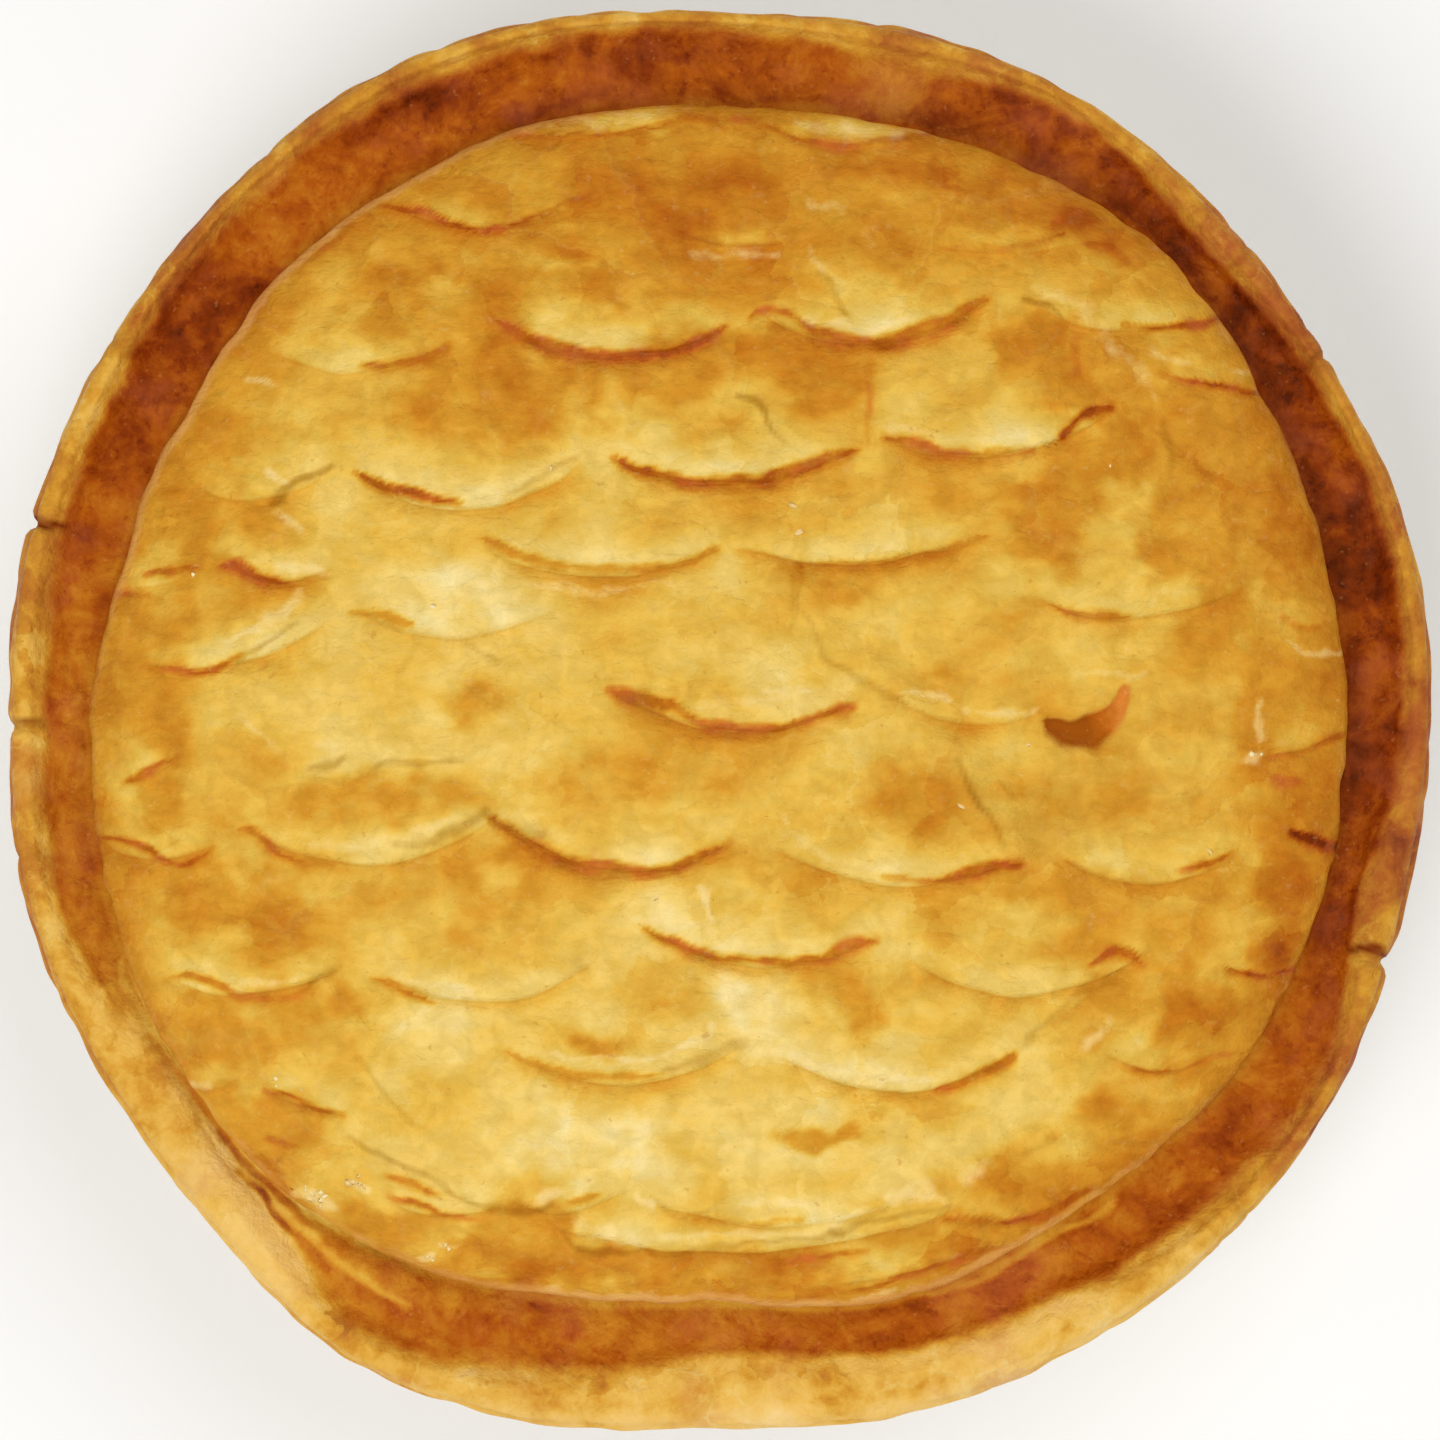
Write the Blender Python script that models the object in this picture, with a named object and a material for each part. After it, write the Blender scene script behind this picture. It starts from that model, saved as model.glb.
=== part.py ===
"""A family-size chicken pie with a puff pastry lid, standing in its own plain dish.

Three solids make the pie: the glazed dish, the pie body with its raised golden rim and pressed groove,
and the domed lid, whose rows of curved cuts have opened like fish scales in the oven.
The origin is at the middle of the dish's underside. X runs to the right, Y to the back, Z up.
"""

import math

import bmesh
import bpy
import numpy as np
from mathutils.geometry import delaunay_2d_cdt

MM = 0.001
FULL_TURN = 2 * math.pi
STATIONS = 120  # places round the pie at which its section is set
GAP = 0.3 * MM  # between one solid and the next

# The dish
DISH_RADIUS = 95 * MM
DISH_HEIGHT = 36 * MM
DISH_MOUTH_RADIUS = 87.5 * MM
DISH_FOOT_RADIUS = 71 * MM
DISH_FLOOR = 4 * MM
DISH_FLOOR_RADIUS = 66.8 * MM
DISH_GAP = 0.45 * MM  # between the dish and the pie body
DISH_RIM_THICKNESS = 3.4 * MM
DISH_MOUTH_WALL = 1.6 * MM  # how far the wall's outside lies beyond the mouth, under the rim
DISH_FOOT_ROUNDING = 2.0 * MM
DISH_RIM_ROUNDING = 1.3 * MM
DISH_MOUTH_ROUNDING = 1.5 * MM
DISH_FLOOR_ROUNDING = 3.0 * MM
DISH_ROUNDING_SEGMENTS = 2
DISH_STATIONS = 60

# Radii of the pie every 15 degrees, counted from +X towards +Y
OUTLINE = (
    100.2, 100.4, 99.5, 100.2, 101.3, 100.7, 99.8, 101.8, 103.1, 101.6, 101.1, 100.9,
    100.2, 101.1, 100.2, 101.0, 103.9, 102.1, 99.6, 101.1, 101.6, 101.9, 101.3, 99.8,
)
GROOVE_OUTSIDE = (
    95.5, 96.3, 95.9, 94.9, 98.0, 96.0, 96.5, 98.4, 98.7, 98.0, 96.5, 95.9,
    94.9, 96.0, 93.0, 93.9, 98.5, 94.1, 89.0, 91.7, 93.4, 96.6, 97.3, 92.8,
)
LID_EDGE = (
    87.9, 87.8, 88.5, 90.3, 88.9, 86.8, 86.0, 87.5, 87.4, 87.6, 86.7, 86.8,
    88.2, 89.2, 89.6, 89.7, 87.5, 83.6, 81.5, 84.3, 85.1, 85.8, 87.9, 87.9,
)
GROOVE_DEPTH = (
    3.6, 3.8, 3.9, 3.6, 3.4, 3.0, 3.4, 3.6, 3.8, 3.9, 3.8, 3.6,
    3.5, 3.2, 1.2, 1.8, 3.0, 3.0, 2.8, 3.0, 3.4, 3.6, 3.6, 3.2,
)

# Heights and thicknesses of the pastry
RIM_CREST = 43 * MM
RIM_WAVE = 0.7 * MM
RIM_WAVE_LENGTH = 14 * MM
RIM_WAVE_SEED = 11
RIM_DROOP = 2.4 * MM  # how far the rim hangs below the dish's top
HANG_WAVE = 0.6  # the hanging edge's wave as a share of the crest's
LID_SEAT_DEPTH = 3.4 * MM  # from the crest down to the level that the dome's middle rises from
LID_EDGE_THICKNESS = 1.8 * MM
DOME_RISE = 5.0 * MM
SHOULDER_RISE = 8.0 * MM
LID_HOLLOW = 0.79  # rise of the lid's underside as a share of the rise of its top

# The groove's section: how far across it each line lies, and how high over its floor
GROOVE_PROFILE = ((0, 0), (0.3, -0.2 * MM), (0.72, 0.3 * MM))
GROOVE_WALL_RISE = 0.55  # how much of the way up to the crest the groove's outer wall has risen at its edge
GROOVE_WALL_CRACK = 0.3  # the share of a crack's depth that shows there

# The rim's section, line by line from the groove to its widest place: how far over the shoulder a line lies,
# how far in from there, how far below the crest, and the shares of a crack's depth that it is cut in and down
RIM_PROFILE = (
    (0.33, 0, 0, 0, 0.8),
    (0.68, 0, 0.5 * MM, 0, 1),
    (1, 0.9 * MM, 2.0 * MM, 0.5, 1),
    (1, 0, 4.2 * MM, 0.8, 0),
)
SIDE_TUCK = 0.7 * MM  # how far the rim's side has drawn in halfway down
SIDE_CRACK = 0.6
HANG_TUCK = 2.6 * MM
UNDER_RIM_STEP = (0.4 * MM, 0.5 * MM)  # out from the dish and up from the hanging edge

# The thin flake that stands up in the groove at the front left: the angles that it lies between, its height,
# and the line of the groove's profile that it rises from
FLAKE_ANGLES = (math.radians(226), math.radians(252))
FLAKE_RISE = 1.3 * MM
FLAKE_LINE = 1

# The rim's cracks: the angle in degrees, and the depth
CRACK_HALF_WIDTH = math.radians(0.7)
RIM_CRACKS = (
    (31, 1.4 * MM), (42, 0.8 * MM), (148, 0.8 * MM), (164, 2.2 * MM),
    (180.5, 1.6 * MM), (191, 0.9 * MM), (317, 0.9 * MM), (340, 2.0 * MM),
)

# The lid's curved cuts in millimetres, by rows from the back to the front: left end x, y, right end x, y,
# how far the middle sags towards the front, and how wide the cut has opened, from 0 to 1
CUT_ROWS = (
    ((-31, 82, -4, 85, 2.5, 0.6), (5, 84, 33, 82, 3.5, 0.6)),
    ((-47, 72, -16, 73, 4, 0.9), (-11, 71, 18, 69, 4, 0.4), (22, 69, 51, 67, 3, 0.4)),
    ((-64, 52, -37, 53, 4, 0.5), (-30, 54.5, 1, 54, 4, 1)),
    ((6, 56, 37.5, 58, 5, 1), (43, 58, 70, 57, 3.5, 0.5), (62, 48, 77, 46, 0.5, 0.6)),
    ((-74, 34, -54, 35, 4, 0.5), (-50, 34, -19, 36, 6, 0.9)),
    ((-14.5, 35.5, 18.5, 37.5, 4, 1), (22, 39, 54, 43, 4.5, 0.9)),
    ((-86, 19, -73, 21, 1.5, 0.5), (-68, 22, -53.5, 21, 2, 0.9), (-32.5, 24, 0, 23.5, 4, 1)),
    ((1.5, 24, 36.5, 25.5, 3, 0.9), (43, 17, 73, 19, 3.5, 0.6)),
    ((-80, 8, -54, 14, 3, 0.8), (-50, 15, -22, 16, 4, 0.5)),
    ((-14.5, 4, 19, 3, 5, 1), (24, 4, 43, 1, 2.5, 0.5)),
    ((75, -5, 87, -2, 0.5, 0.5), (-82, -8, -75, -5, 0.5, 0.6)),
    ((-88, -16, -70.5, -17.5, 2.5, 0.8), (-66, -14.5, -31.5, -13.5, 6, 0.6), (-31, -13.5, 2, -17, 5.5, 1)),
    ((8, -18, 41, -18.5, 4.5, 0.8), (46, -18, 72, -18.5, 4.5, 0.6), (80, -16, 87, -18, 0.5, 0.7)),
    ((-76, -36, -52.5, -34.5, 2.5, 0.8), (-47, -35, -17, -33, 5, 0.6)),
    ((-10, -29, 21.5, -30, 4.5, 1), (25, -32, 60, -31, 6.5, 0.6), (70, -34, 83, -34.5, 1.5, 0.6)),
    ((-73, -51, -67, -49, 1, 0.6), (-63, -51, -52, -55, 0.5, 0.8)),
    ((-30, -45, 3.5, -44.5, 5.5, 0.7), (8, -46, 41, -45.5, 5.5, 0.8), (53, -46, 69, -46, 2.5, 0.6)),
    ((-46, -66, -31, -67.5, 2, 0.7), (-29.5, -66, -13, -65, 2.5, 0.6)),
    ((-10.5, -66, 25, -66.5, 3.5, 0.6), (31.5, -69, 48, -66.5, 2, 0.6)),
)
# Where the lid's front has risen in layers that run along its edge
LAYER_STEPS = ((-24, -70, 34, -67, 5, 0.9), (10, -79.5, 41, -72, 1, 0.5), (-64, -60, -24, -77, 7, 0.6))
CUT_LIP_RISE = 1.0 * MM
CUT_LIP_REACH = 6.0 * MM
CUT_FOOT_DROP = 1.2 * MM
CUT_FOOT_REACH = 3.0 * MM
CUT_HALF_WIDTH = 0.5 * MM
CUT_TAPER = 0.6

# The open steam hole, and the crease beside it
STEAM_HOLE = (50.5 * MM, 0.2 * MM)
STEAM_HOLE_HALF = (6.0 * MM, 2.3 * MM)
STEAM_HOLE_TURN = math.radians(20)
STEAM_HOLE_DEPTH = 2.2 * MM
CREASE = ((10.5, 19.5), (15.5, 10), (24, 4.5), (33.5, -5.5), (37, -12.5), (41, -18))
CREASE_RISE = 1.1 * MM
CREASE_REACH = 2.4 * MM

# The lid's swells: the width of a bump, its height, and the seed of its pattern
SWELLS = ((34 * MM, 1.3 * MM, 3), (17 * MM, 0.8 * MM, 5), (8 * MM, 0.35 * MM, 8))
SWELL_CELLS = 64  # bumps along each side of a pattern

# How fine the nets of the solids are
LID_NET = 3.15 * MM
UNDERSIDE_NET = 13 * MM
LINE_STEP = 2.3 * MM
CLEAR_OF_LINE = 1.5 * MM
NET_EPSILON = 0.12 * MM
LID_EDGE_RINGS = (0.985, 0.96, 0.93)
NET_INSIDE = 0.908
LINES_INSIDE = 0.975
CUT_LINE_END = 0.95  # how far along a cut's half length its lines run
WELD = 0.01 * MM
SHARP_ANGLE = math.radians(40)

# Colours, and how rough each surface is
GOLDEN_PASTRY = (0.72, 0.43, 0.085, 1)
GOLDEN_ROUGHNESS = 0.45
BROWN_PASTRY = (0.50, 0.19, 0.035, 1)
BROWN_ROUGHNESS = 0.4
DISH_GLAZE = (0.83, 0.80, 0.74, 1)
GLAZE_ROUGHNESS = 0.18


def clear_scene():
    for thing in list(bpy.data.objects):
        bpy.data.objects.remove(thing, do_unlink=True)


def finish(name, colour, roughness):
    """A baked, egg-washed pastry surface, or a glaze when it is less rough."""
    material = bpy.data.materials.new(name)
    material.use_nodes = True
    shader = material.node_tree.nodes["Principled BSDF"]
    shader.inputs["Base Color"].default_value = colour
    shader.inputs["Roughness"].default_value = roughness
    shader.inputs["Metallic"].default_value = 0
    return material


def around(values, angle):
    """A smooth closed curve through values at even angles, in millimetres, read at each angle in metres."""
    values = np.asarray(values) * MM
    place = np.mod(angle, FULL_TURN) / FULL_TURN * len(values)
    first = np.floor(place).astype(int)
    share = place - first
    before, start, end, after = (values[(first + step) % len(values)] for step in (-1, 0, 1, 2))
    slope = (end - before) * share
    bend = (2 * before - 5 * start + 4 * end - after) * share**2
    twist = (3 * start - before - 3 * end + after) * share**3
    return start + (slope + bend + twist) / 2


def smooth_step(value, low, high):
    share = np.clip((value - low) / (high - low), 0, 1)
    return share * share * (3 - 2 * share)


def swell(x, y, size, seed):
    """Smooth random bumps of about this size, between -1 and 1."""
    lattice = np.random.default_rng(seed).uniform(-1, 1, (SWELL_CELLS, SWELL_CELLS))
    column = x / size + SWELL_CELLS / 2
    row = y / size + SWELL_CELLS / 2
    left = np.floor(column).astype(int)
    low = np.floor(row).astype(int)
    across = smooth_step(column - left, 0, 1)
    up = smooth_step(row - low, 0, 1)
    near = lattice[low, left] * (1 - across) + lattice[low, left + 1] * across
    far = lattice[low + 1, left] * (1 - across) + lattice[low + 1, left + 1] * across
    return near * (1 - up) + far * up


def groove_floor(angle):
    return RIM_CREST - around(GROOVE_DEPTH, angle)


def edge_share(x, y):
    """How far out a place on the lid is: 0 in the middle, 1 on its edge."""
    return np.minimum(np.hypot(x, y) / around(LID_EDGE, np.arctan2(y, x)), 1)


def dome(x, y, hollow):
    """The height of the lid's smooth dome over its edge, or of the underside where hollow is under 1."""
    share = edge_share(x, y)
    level = groove_floor(np.arctan2(y, x))
    middle = RIM_CREST - LID_SEAT_DEPTH
    seat = middle + (level - middle) * share**4
    rise = DOME_RISE * (1 - share**2) + SHOULDER_RISE * np.sqrt(1 - share**6)
    return seat + hollow * rise


def cut_frame(cut):
    """The middle of a cut's chord, its direction, that of its sag, its half length, sag and opening."""
    left_x, left_y, right_x, right_y, sag, opening = cut
    left = np.array((left_x, left_y)) * MM
    right = np.array((right_x, right_y)) * MM
    half = np.hypot(*(right - left)) / 2
    along = (right - left) / (2 * half)
    front = np.array((along[1], -along[0]))
    return (left + right) / 2, along, front, half, sag * MM, opening


def cut_relief(x, y, cut):
    """The lifted lip behind a cut and the sunk foot in front of it, tapering to nothing at both ends."""
    middle, along, front, half, sag, opening = cut_frame(cut)
    offset_x = x - middle[0]
    offset_y = y - middle[1]
    share = (offset_x * along[0] + offset_y * along[1]) / half
    ahead = offset_x * front[0] + offset_y * front[1] - sag * (1 - share**2)
    taper = np.clip(1 - share**2, 0, 1) ** CUT_TAPER
    lip = CUT_LIP_RISE * np.exp(np.minimum(ahead, 0) / CUT_LIP_REACH)
    foot = -CUT_FOOT_DROP * np.exp(-np.maximum(ahead, 0) / CUT_FOOT_REACH)
    over = smooth_step(ahead, -CUT_HALF_WIDTH, CUT_HALF_WIDTH)
    return opening * taper * (lip * (1 - over) + foot * over)


def crease_relief(x, y):
    """The ridge that the lid has folded up along the crease."""
    points = np.array(CREASE) * MM
    nearest = np.full(np.shape(x), np.inf)
    for start, end in zip(points, points[1:]):
        run = end - start
        share = ((x - start[0]) * run[0] + (y - start[1]) * run[1]) / (run @ run)
        share = np.clip(share, 0, 1)
        distance = np.hypot(x - start[0] - share * run[0], y - start[1] - share * run[1])
        nearest = np.minimum(nearest, distance)
    return CREASE_RISE * np.exp(-((nearest / CREASE_REACH) ** 2))


def steam_hole_relief(x, y):
    offset_x = x - STEAM_HOLE[0]
    offset_y = y - STEAM_HOLE[1]
    cosine = math.cos(STEAM_HOLE_TURN)
    sine = math.sin(STEAM_HOLE_TURN)
    along = (offset_x * cosine + offset_y * sine) / STEAM_HOLE_HALF[0]
    across = (offset_y * cosine - offset_x * sine) / STEAM_HOLE_HALF[1]
    return -STEAM_HOLE_DEPTH * np.exp(-((along**2 + across**2) ** 2))


def lid_cuts():
    return [cut for row in CUT_ROWS for cut in row] + list(LAYER_STEPS)


def lid_top(x, y):
    """The height of the lid's upper surface."""
    share = edge_share(x, y)
    relief = sum(height * swell(x, y, size, seed) for size, height, seed in SWELLS)
    relief = relief + sum(cut_relief(x, y, cut) for cut in lid_cuts())
    relief = relief + crease_relief(x, y) + steam_hole_relief(x, y)
    return dome(x, y, 1) + GAP + LID_EDGE_THICKNESS + relief * (1 - share**10)


def lid_underside(x, y):
    return dome(x, y, LID_HOLLOW) + GAP


def body_under_lid(x, y):
    return dome(x, y, LID_HOLLOW)


def cut_lines():
    """The two lines of points that run along each cut, one on its lip and one at its foot."""
    lines = []
    for cut in lid_cuts():
        middle, along, front, half, sag, _ = cut_frame(cut)
        count = max(3, round(2 * half / LINE_STEP))
        shares = np.linspace(-CUT_LINE_END, CUT_LINE_END, count)[:, None]
        for side in (-CUT_HALF_WIDTH, CUT_HALF_WIDTH):
            ahead = sag * (1 - shares**2) + side
            lines.append(middle + along * shares * half + front * ahead)
    return lines


def crease_lines():
    return [np.array(CREASE) * MM]


def lid_edge_angles():
    return np.arange(STATIONS) / STATIONS * FULL_TURN


def lid_ring(share):
    angles = lid_edge_angles()
    radii = around(LID_EDGE, angles) * share
    return np.column_stack((radii * np.cos(angles), radii * np.sin(angles)))


def staggered_points(spacing):
    """Points over the lid in staggered rows, like the centres of a honeycomb."""
    reach = max(LID_EDGE) * MM
    rows = np.arange(-reach, reach, spacing * math.sqrt(3) / 2)
    points = []
    for index, y in enumerate(rows):
        shift = spacing / 2 if index % 2 else 0
        for x in np.arange(-reach + shift, reach, spacing):
            points.append((x, y))
    return np.array(points)


def lid_net(spacing, rings, lines):
    """A net of triangles over the lid's outline, with edges along each line: its points and its triangles."""
    outline = lid_ring(1)
    inner_rings = [lid_ring(share) for share in rings]
    loose = staggered_points(spacing)
    inside = NET_INSIDE if rings else 1 - spacing / (2 * max(LID_EDGE) * MM)
    loose = loose[edge_share(loose[:, 0], loose[:, 1]) < inside]
    lines = [line[edge_share(line[:, 0], line[:, 1]) < LINES_INSIDE] for line in lines]
    lines = [line for line in lines if len(line) > 1]
    for line in lines:
        apart = np.hypot(loose[:, None, 0] - line[None, :, 0], loose[:, None, 1] - line[None, :, 1])
        loose = loose[apart.min(axis=1) > CLEAR_OF_LINE]
        for index, ring in enumerate(inner_rings):
            apart = np.hypot(ring[:, None, 0] - line[None, :, 0], ring[:, None, 1] - line[None, :, 1])
            inner_rings[index] = ring[apart.min(axis=1) > CLEAR_OF_LINE]
    points = np.concatenate([outline, *inner_rings, loose, *lines])
    edges = []
    first = len(points) - sum(len(line) for line in lines)
    for line in lines:
        edges += [(first + step, first + step + 1) for step in range(len(line) - 1)]
        first += len(line)
    border = list(range(STATIONS))
    found = delaunay_2d_cdt([tuple(point) for point in points], edges, [border], 1, NET_EPSILON)
    places = np.array([tuple(place) for place in found[0]])
    return places, found[2]


def add_net(form, places, heights, triangles, upwards):
    """Adds a net to the form at these heights, facing up or down, and gives back its vertices."""
    vertices = [form.verts.new((x, y, z)) for (x, y), z in zip(places, heights)]
    for corners in triangles:
        order = corners if upwards else corners[::-1]
        form.faces.new([vertices[corner] for corner in order])
    return vertices


def add_band(form, first, second):
    """Joins two closed loops of as many vertices with a band of faces."""
    for index in range(len(first)):
        after = (index + 1) % len(first)
        form.faces.new((first[index], first[after], second[after], second[index]))


def make_object(name, form, material):
    bmesh.ops.remove_doubles(form, verts=form.verts, dist=WELD)
    bmesh.ops.triangulate(form, faces=form.faces)
    bmesh.ops.recalc_face_normals(form, faces=form.faces)
    mesh = bpy.data.meshes.new(name)
    form.to_mesh(mesh)
    form.free()
    mesh.shade_smooth()
    mesh.set_sharp_from_angle(angle=SHARP_ANGLE)
    mesh.materials.append(material)
    thing = bpy.data.objects.new(name, mesh)
    bpy.context.scene.collection.objects.link(thing)
    return thing


def border_vertices(vertices):
    """The first vertices of a net are its border, one for each station."""
    return vertices[:STATIONS]


def make_lid():
    form = bmesh.new()
    places, triangles = lid_net(LID_NET, LID_EDGE_RINGS, cut_lines() + crease_lines())
    top = add_net(form, places, lid_top(places[:, 0], places[:, 1]), triangles, True)
    places, triangles = lid_net(UNDERSIDE_NET, (), [])
    bottom = add_net(form, places, lid_underside(places[:, 0], places[:, 1]), triangles, False)
    add_band(form, border_vertices(bottom), border_vertices(top))
    return make_object("pastry_lid", form, finish("golden_pastry", GOLDEN_PASTRY, GOLDEN_ROUGHNESS))


def rim_angles():
    """Even angles round the rim, save that the three nearest a crack close in on it."""
    angles = lid_edge_angles()
    for degrees, _ in RIM_CRACKS:
        crack = math.radians(degrees)
        nearest = round(crack / FULL_TURN * STATIONS)
        for step in (-1, 0, 1):
            angles[(nearest + step) % STATIONS] = crack + step * CRACK_HALF_WIDTH
    return angles


def crack_depth(angles):
    depth = np.zeros(len(angles))
    for degrees, crack in RIM_CRACKS:
        apart = np.abs(angles - math.radians(degrees))
        depth += crack * np.clip(1 - apart / CRACK_HALF_WIDTH, 0, 1)
    return depth


def flake_rise(angles):
    middle, half = sum(FLAKE_ANGLES) / 2, (FLAKE_ANGLES[1] - FLAKE_ANGLES[0]) / 2
    return FLAKE_RISE * np.clip(1 - ((angles - middle) / half) ** 2, 0, 1)


def groove_loops(angles, crest, notch):
    """The loops of radii and heights along the groove, from the lid's edge to the groove's outer wall."""
    lid_edge = around(LID_EDGE, angles)
    groove = around(GROOVE_OUTSIDE, angles)
    floor = groove_floor(angles)
    loops = []
    for line, (across, rise) in enumerate(GROOVE_PROFILE):
        flake = flake_rise(angles) if line == FLAKE_LINE else 0
        loops.append((lid_edge + across * (groove - lid_edge), floor + rise + flake))
    wall = floor + GROOVE_WALL_RISE * (crest - floor) - GROOVE_WALL_CRACK * notch
    return loops + [(groove, wall)]


def rim_section(angles):
    """The pie body's section at each angle, as loops of radii and heights from the lid's edge to the dish."""
    outline = around(OUTLINE, angles)
    groove = around(GROOVE_OUTSIDE, angles)
    x = outline * np.cos(angles)
    y = outline * np.sin(angles)
    wave = RIM_WAVE * swell(x, y, RIM_WAVE_LENGTH, RIM_WAVE_SEED)
    crest = RIM_CREST + wave
    notch = crack_depth(angles)
    hang = DISH_HEIGHT - RIM_DROOP + HANG_WAVE * wave
    loops = groove_loops(angles, crest, notch)
    for over, inwards, below, cut_in, cut_down in RIM_PROFILE:
        radii = groove + over * (outline - groove) - inwards - cut_in * notch
        loops.append((radii, crest - below - cut_down * notch))
    widest = crest - RIM_PROFILE[-1][2]
    loops.append((outline - SIDE_TUCK - SIDE_CRACK * notch, (widest + hang) / 2))
    loops.append((outline - HANG_TUCK, hang))
    beside_dish = np.full(len(angles), DISH_RADIUS + DISH_GAP)
    loops.append((beside_dish + UNDER_RIM_STEP[0], hang + UNDER_RIM_STEP[1]))
    loops.append((beside_dish, np.full(len(angles), DISH_HEIGHT + DISH_GAP)))
    return loops


def rounded(corners, segments):
    """A chain of points through the corners, each given as radius, height and how far out it is rounded."""
    points = []
    for index, (radius, height, reach) in enumerate(corners):
        corner = np.array((radius, height))
        if reach == 0:
            points.append(corner)
            continue
        before = np.array(corners[index - 1][:2]) - corner
        after = np.array(corners[index + 1][:2]) - corner
        start = corner + before / np.hypot(*before) * reach
        end = corner + after / np.hypot(*after) * reach
        for share in np.linspace(0, 1, segments + 1):
            blend = start * (1 - share) ** 2 + corner * 2 * share * (1 - share) + end * share**2
            points.append(blend)
    return points


def body_in_dish():
    """The radii and heights of the pie body where it lies in the dish, from the dish's mouth to its floor."""
    slope = (DISH_MOUTH_RADIUS - DISH_FLOOR_RADIUS) / (DISH_HEIGHT - DISH_FLOOR)
    inwards = DISH_GAP * (math.hypot(1, slope) - slope)
    corners = (
        (DISH_RADIUS, DISH_HEIGHT + DISH_GAP, 0),
        (DISH_MOUTH_RADIUS - inwards, DISH_HEIGHT + DISH_GAP, DISH_MOUTH_ROUNDING),
        (DISH_FLOOR_RADIUS - inwards, DISH_FLOOR + DISH_GAP, DISH_FLOOR_ROUNDING),
        (0, DISH_FLOOR + DISH_GAP, 0),
    )
    return rounded(corners, DISH_ROUNDING_SEGMENTS)[1:-1]


def add_loop(form, angles, radii, heights):
    x = radii * np.cos(angles)
    y = radii * np.sin(angles)
    return [form.verts.new(place) for place in zip(x, y, heights)]


def make_pie_body():
    form = bmesh.new()
    places, triangles = lid_net(UNDERSIDE_NET, (), [])
    under_lid = add_net(form, places, body_under_lid(places[:, 0], places[:, 1]), triangles, True)
    loop = border_vertices(under_lid)
    angles = rim_angles()
    even = lid_edge_angles()
    for radii, heights in rim_section(angles)[1:]:
        following = add_loop(form, angles, radii, heights)
        add_band(form, loop, following)
        loop = following
    for radius, height in body_in_dish():
        following = add_loop(form, even, np.full(STATIONS, radius), np.full(STATIONS, height))
        add_band(form, loop, following)
        loop = following
    form.faces.new(loop)
    return make_object("pie_body", form, finish("brown_pastry", BROWN_PASTRY, BROWN_ROUGHNESS))


def dish_profile():
    under_rim = DISH_HEIGHT - DISH_RIM_THICKNESS
    corners = (
        (0, 0, 0),
        (DISH_FOOT_RADIUS, 0, DISH_FOOT_ROUNDING),
        (DISH_MOUTH_RADIUS + DISH_MOUTH_WALL, under_rim, DISH_MOUTH_ROUNDING),
        (DISH_RADIUS, under_rim, DISH_RIM_ROUNDING),
        (DISH_RADIUS, DISH_HEIGHT, DISH_RIM_ROUNDING),
        (DISH_MOUTH_RADIUS, DISH_HEIGHT, DISH_MOUTH_ROUNDING),
        (DISH_FLOOR_RADIUS, DISH_FLOOR, DISH_FLOOR_ROUNDING),
        (0, DISH_FLOOR, 0),
    )
    return rounded(corners, DISH_ROUNDING_SEGMENTS)


def make_dish():
    form = bmesh.new()
    vertices = [form.verts.new((radius, 0, height)) for radius, height in dish_profile()]
    edges = [form.edges.new(pair) for pair in zip(vertices, vertices[1:])]
    bmesh.ops.spin(
        form,
        geom=vertices + edges,
        cent=(0, 0, 0),
        axis=(0, 0, 1),
        angle=FULL_TURN,
        steps=DISH_STATIONS,
        use_merge=True,
    )
    return make_object("dish", form, finish("dish_glaze", DISH_GLAZE, GLAZE_ROUGHNESS))


def main():
    clear_scene()
    make_dish()
    make_pie_body()
    make_lid()


main()
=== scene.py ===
import math

import bmesh
import bpy
import numpy as np
from mathutils import Matrix, Vector


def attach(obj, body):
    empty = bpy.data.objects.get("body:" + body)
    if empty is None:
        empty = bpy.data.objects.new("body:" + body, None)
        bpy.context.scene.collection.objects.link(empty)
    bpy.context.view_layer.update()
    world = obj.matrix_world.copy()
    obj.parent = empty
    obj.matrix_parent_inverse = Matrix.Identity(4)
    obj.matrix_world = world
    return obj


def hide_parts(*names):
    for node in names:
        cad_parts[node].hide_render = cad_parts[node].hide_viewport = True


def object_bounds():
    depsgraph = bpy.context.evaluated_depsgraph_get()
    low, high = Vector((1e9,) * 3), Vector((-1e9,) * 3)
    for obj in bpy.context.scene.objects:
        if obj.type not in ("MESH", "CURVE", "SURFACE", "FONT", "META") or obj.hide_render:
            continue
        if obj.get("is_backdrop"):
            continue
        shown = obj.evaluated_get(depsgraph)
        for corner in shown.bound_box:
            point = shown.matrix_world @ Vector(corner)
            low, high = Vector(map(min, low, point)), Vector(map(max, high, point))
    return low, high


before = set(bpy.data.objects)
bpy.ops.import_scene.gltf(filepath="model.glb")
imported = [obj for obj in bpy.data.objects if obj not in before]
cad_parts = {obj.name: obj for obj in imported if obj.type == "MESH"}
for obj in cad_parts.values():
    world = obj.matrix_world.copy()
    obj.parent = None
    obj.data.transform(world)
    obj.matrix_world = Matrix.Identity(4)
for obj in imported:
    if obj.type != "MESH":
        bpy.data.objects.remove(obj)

CAD_LOW, CAD_HIGH = (list(corner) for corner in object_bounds())
MM = 0.001
FULL_TURN = 2 * math.pi
# The air between the lid and the pie body
GAP = 0.3 * MM

# ---------- The pie's form, in millimetres and metres, as its solids have it ----------

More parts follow.
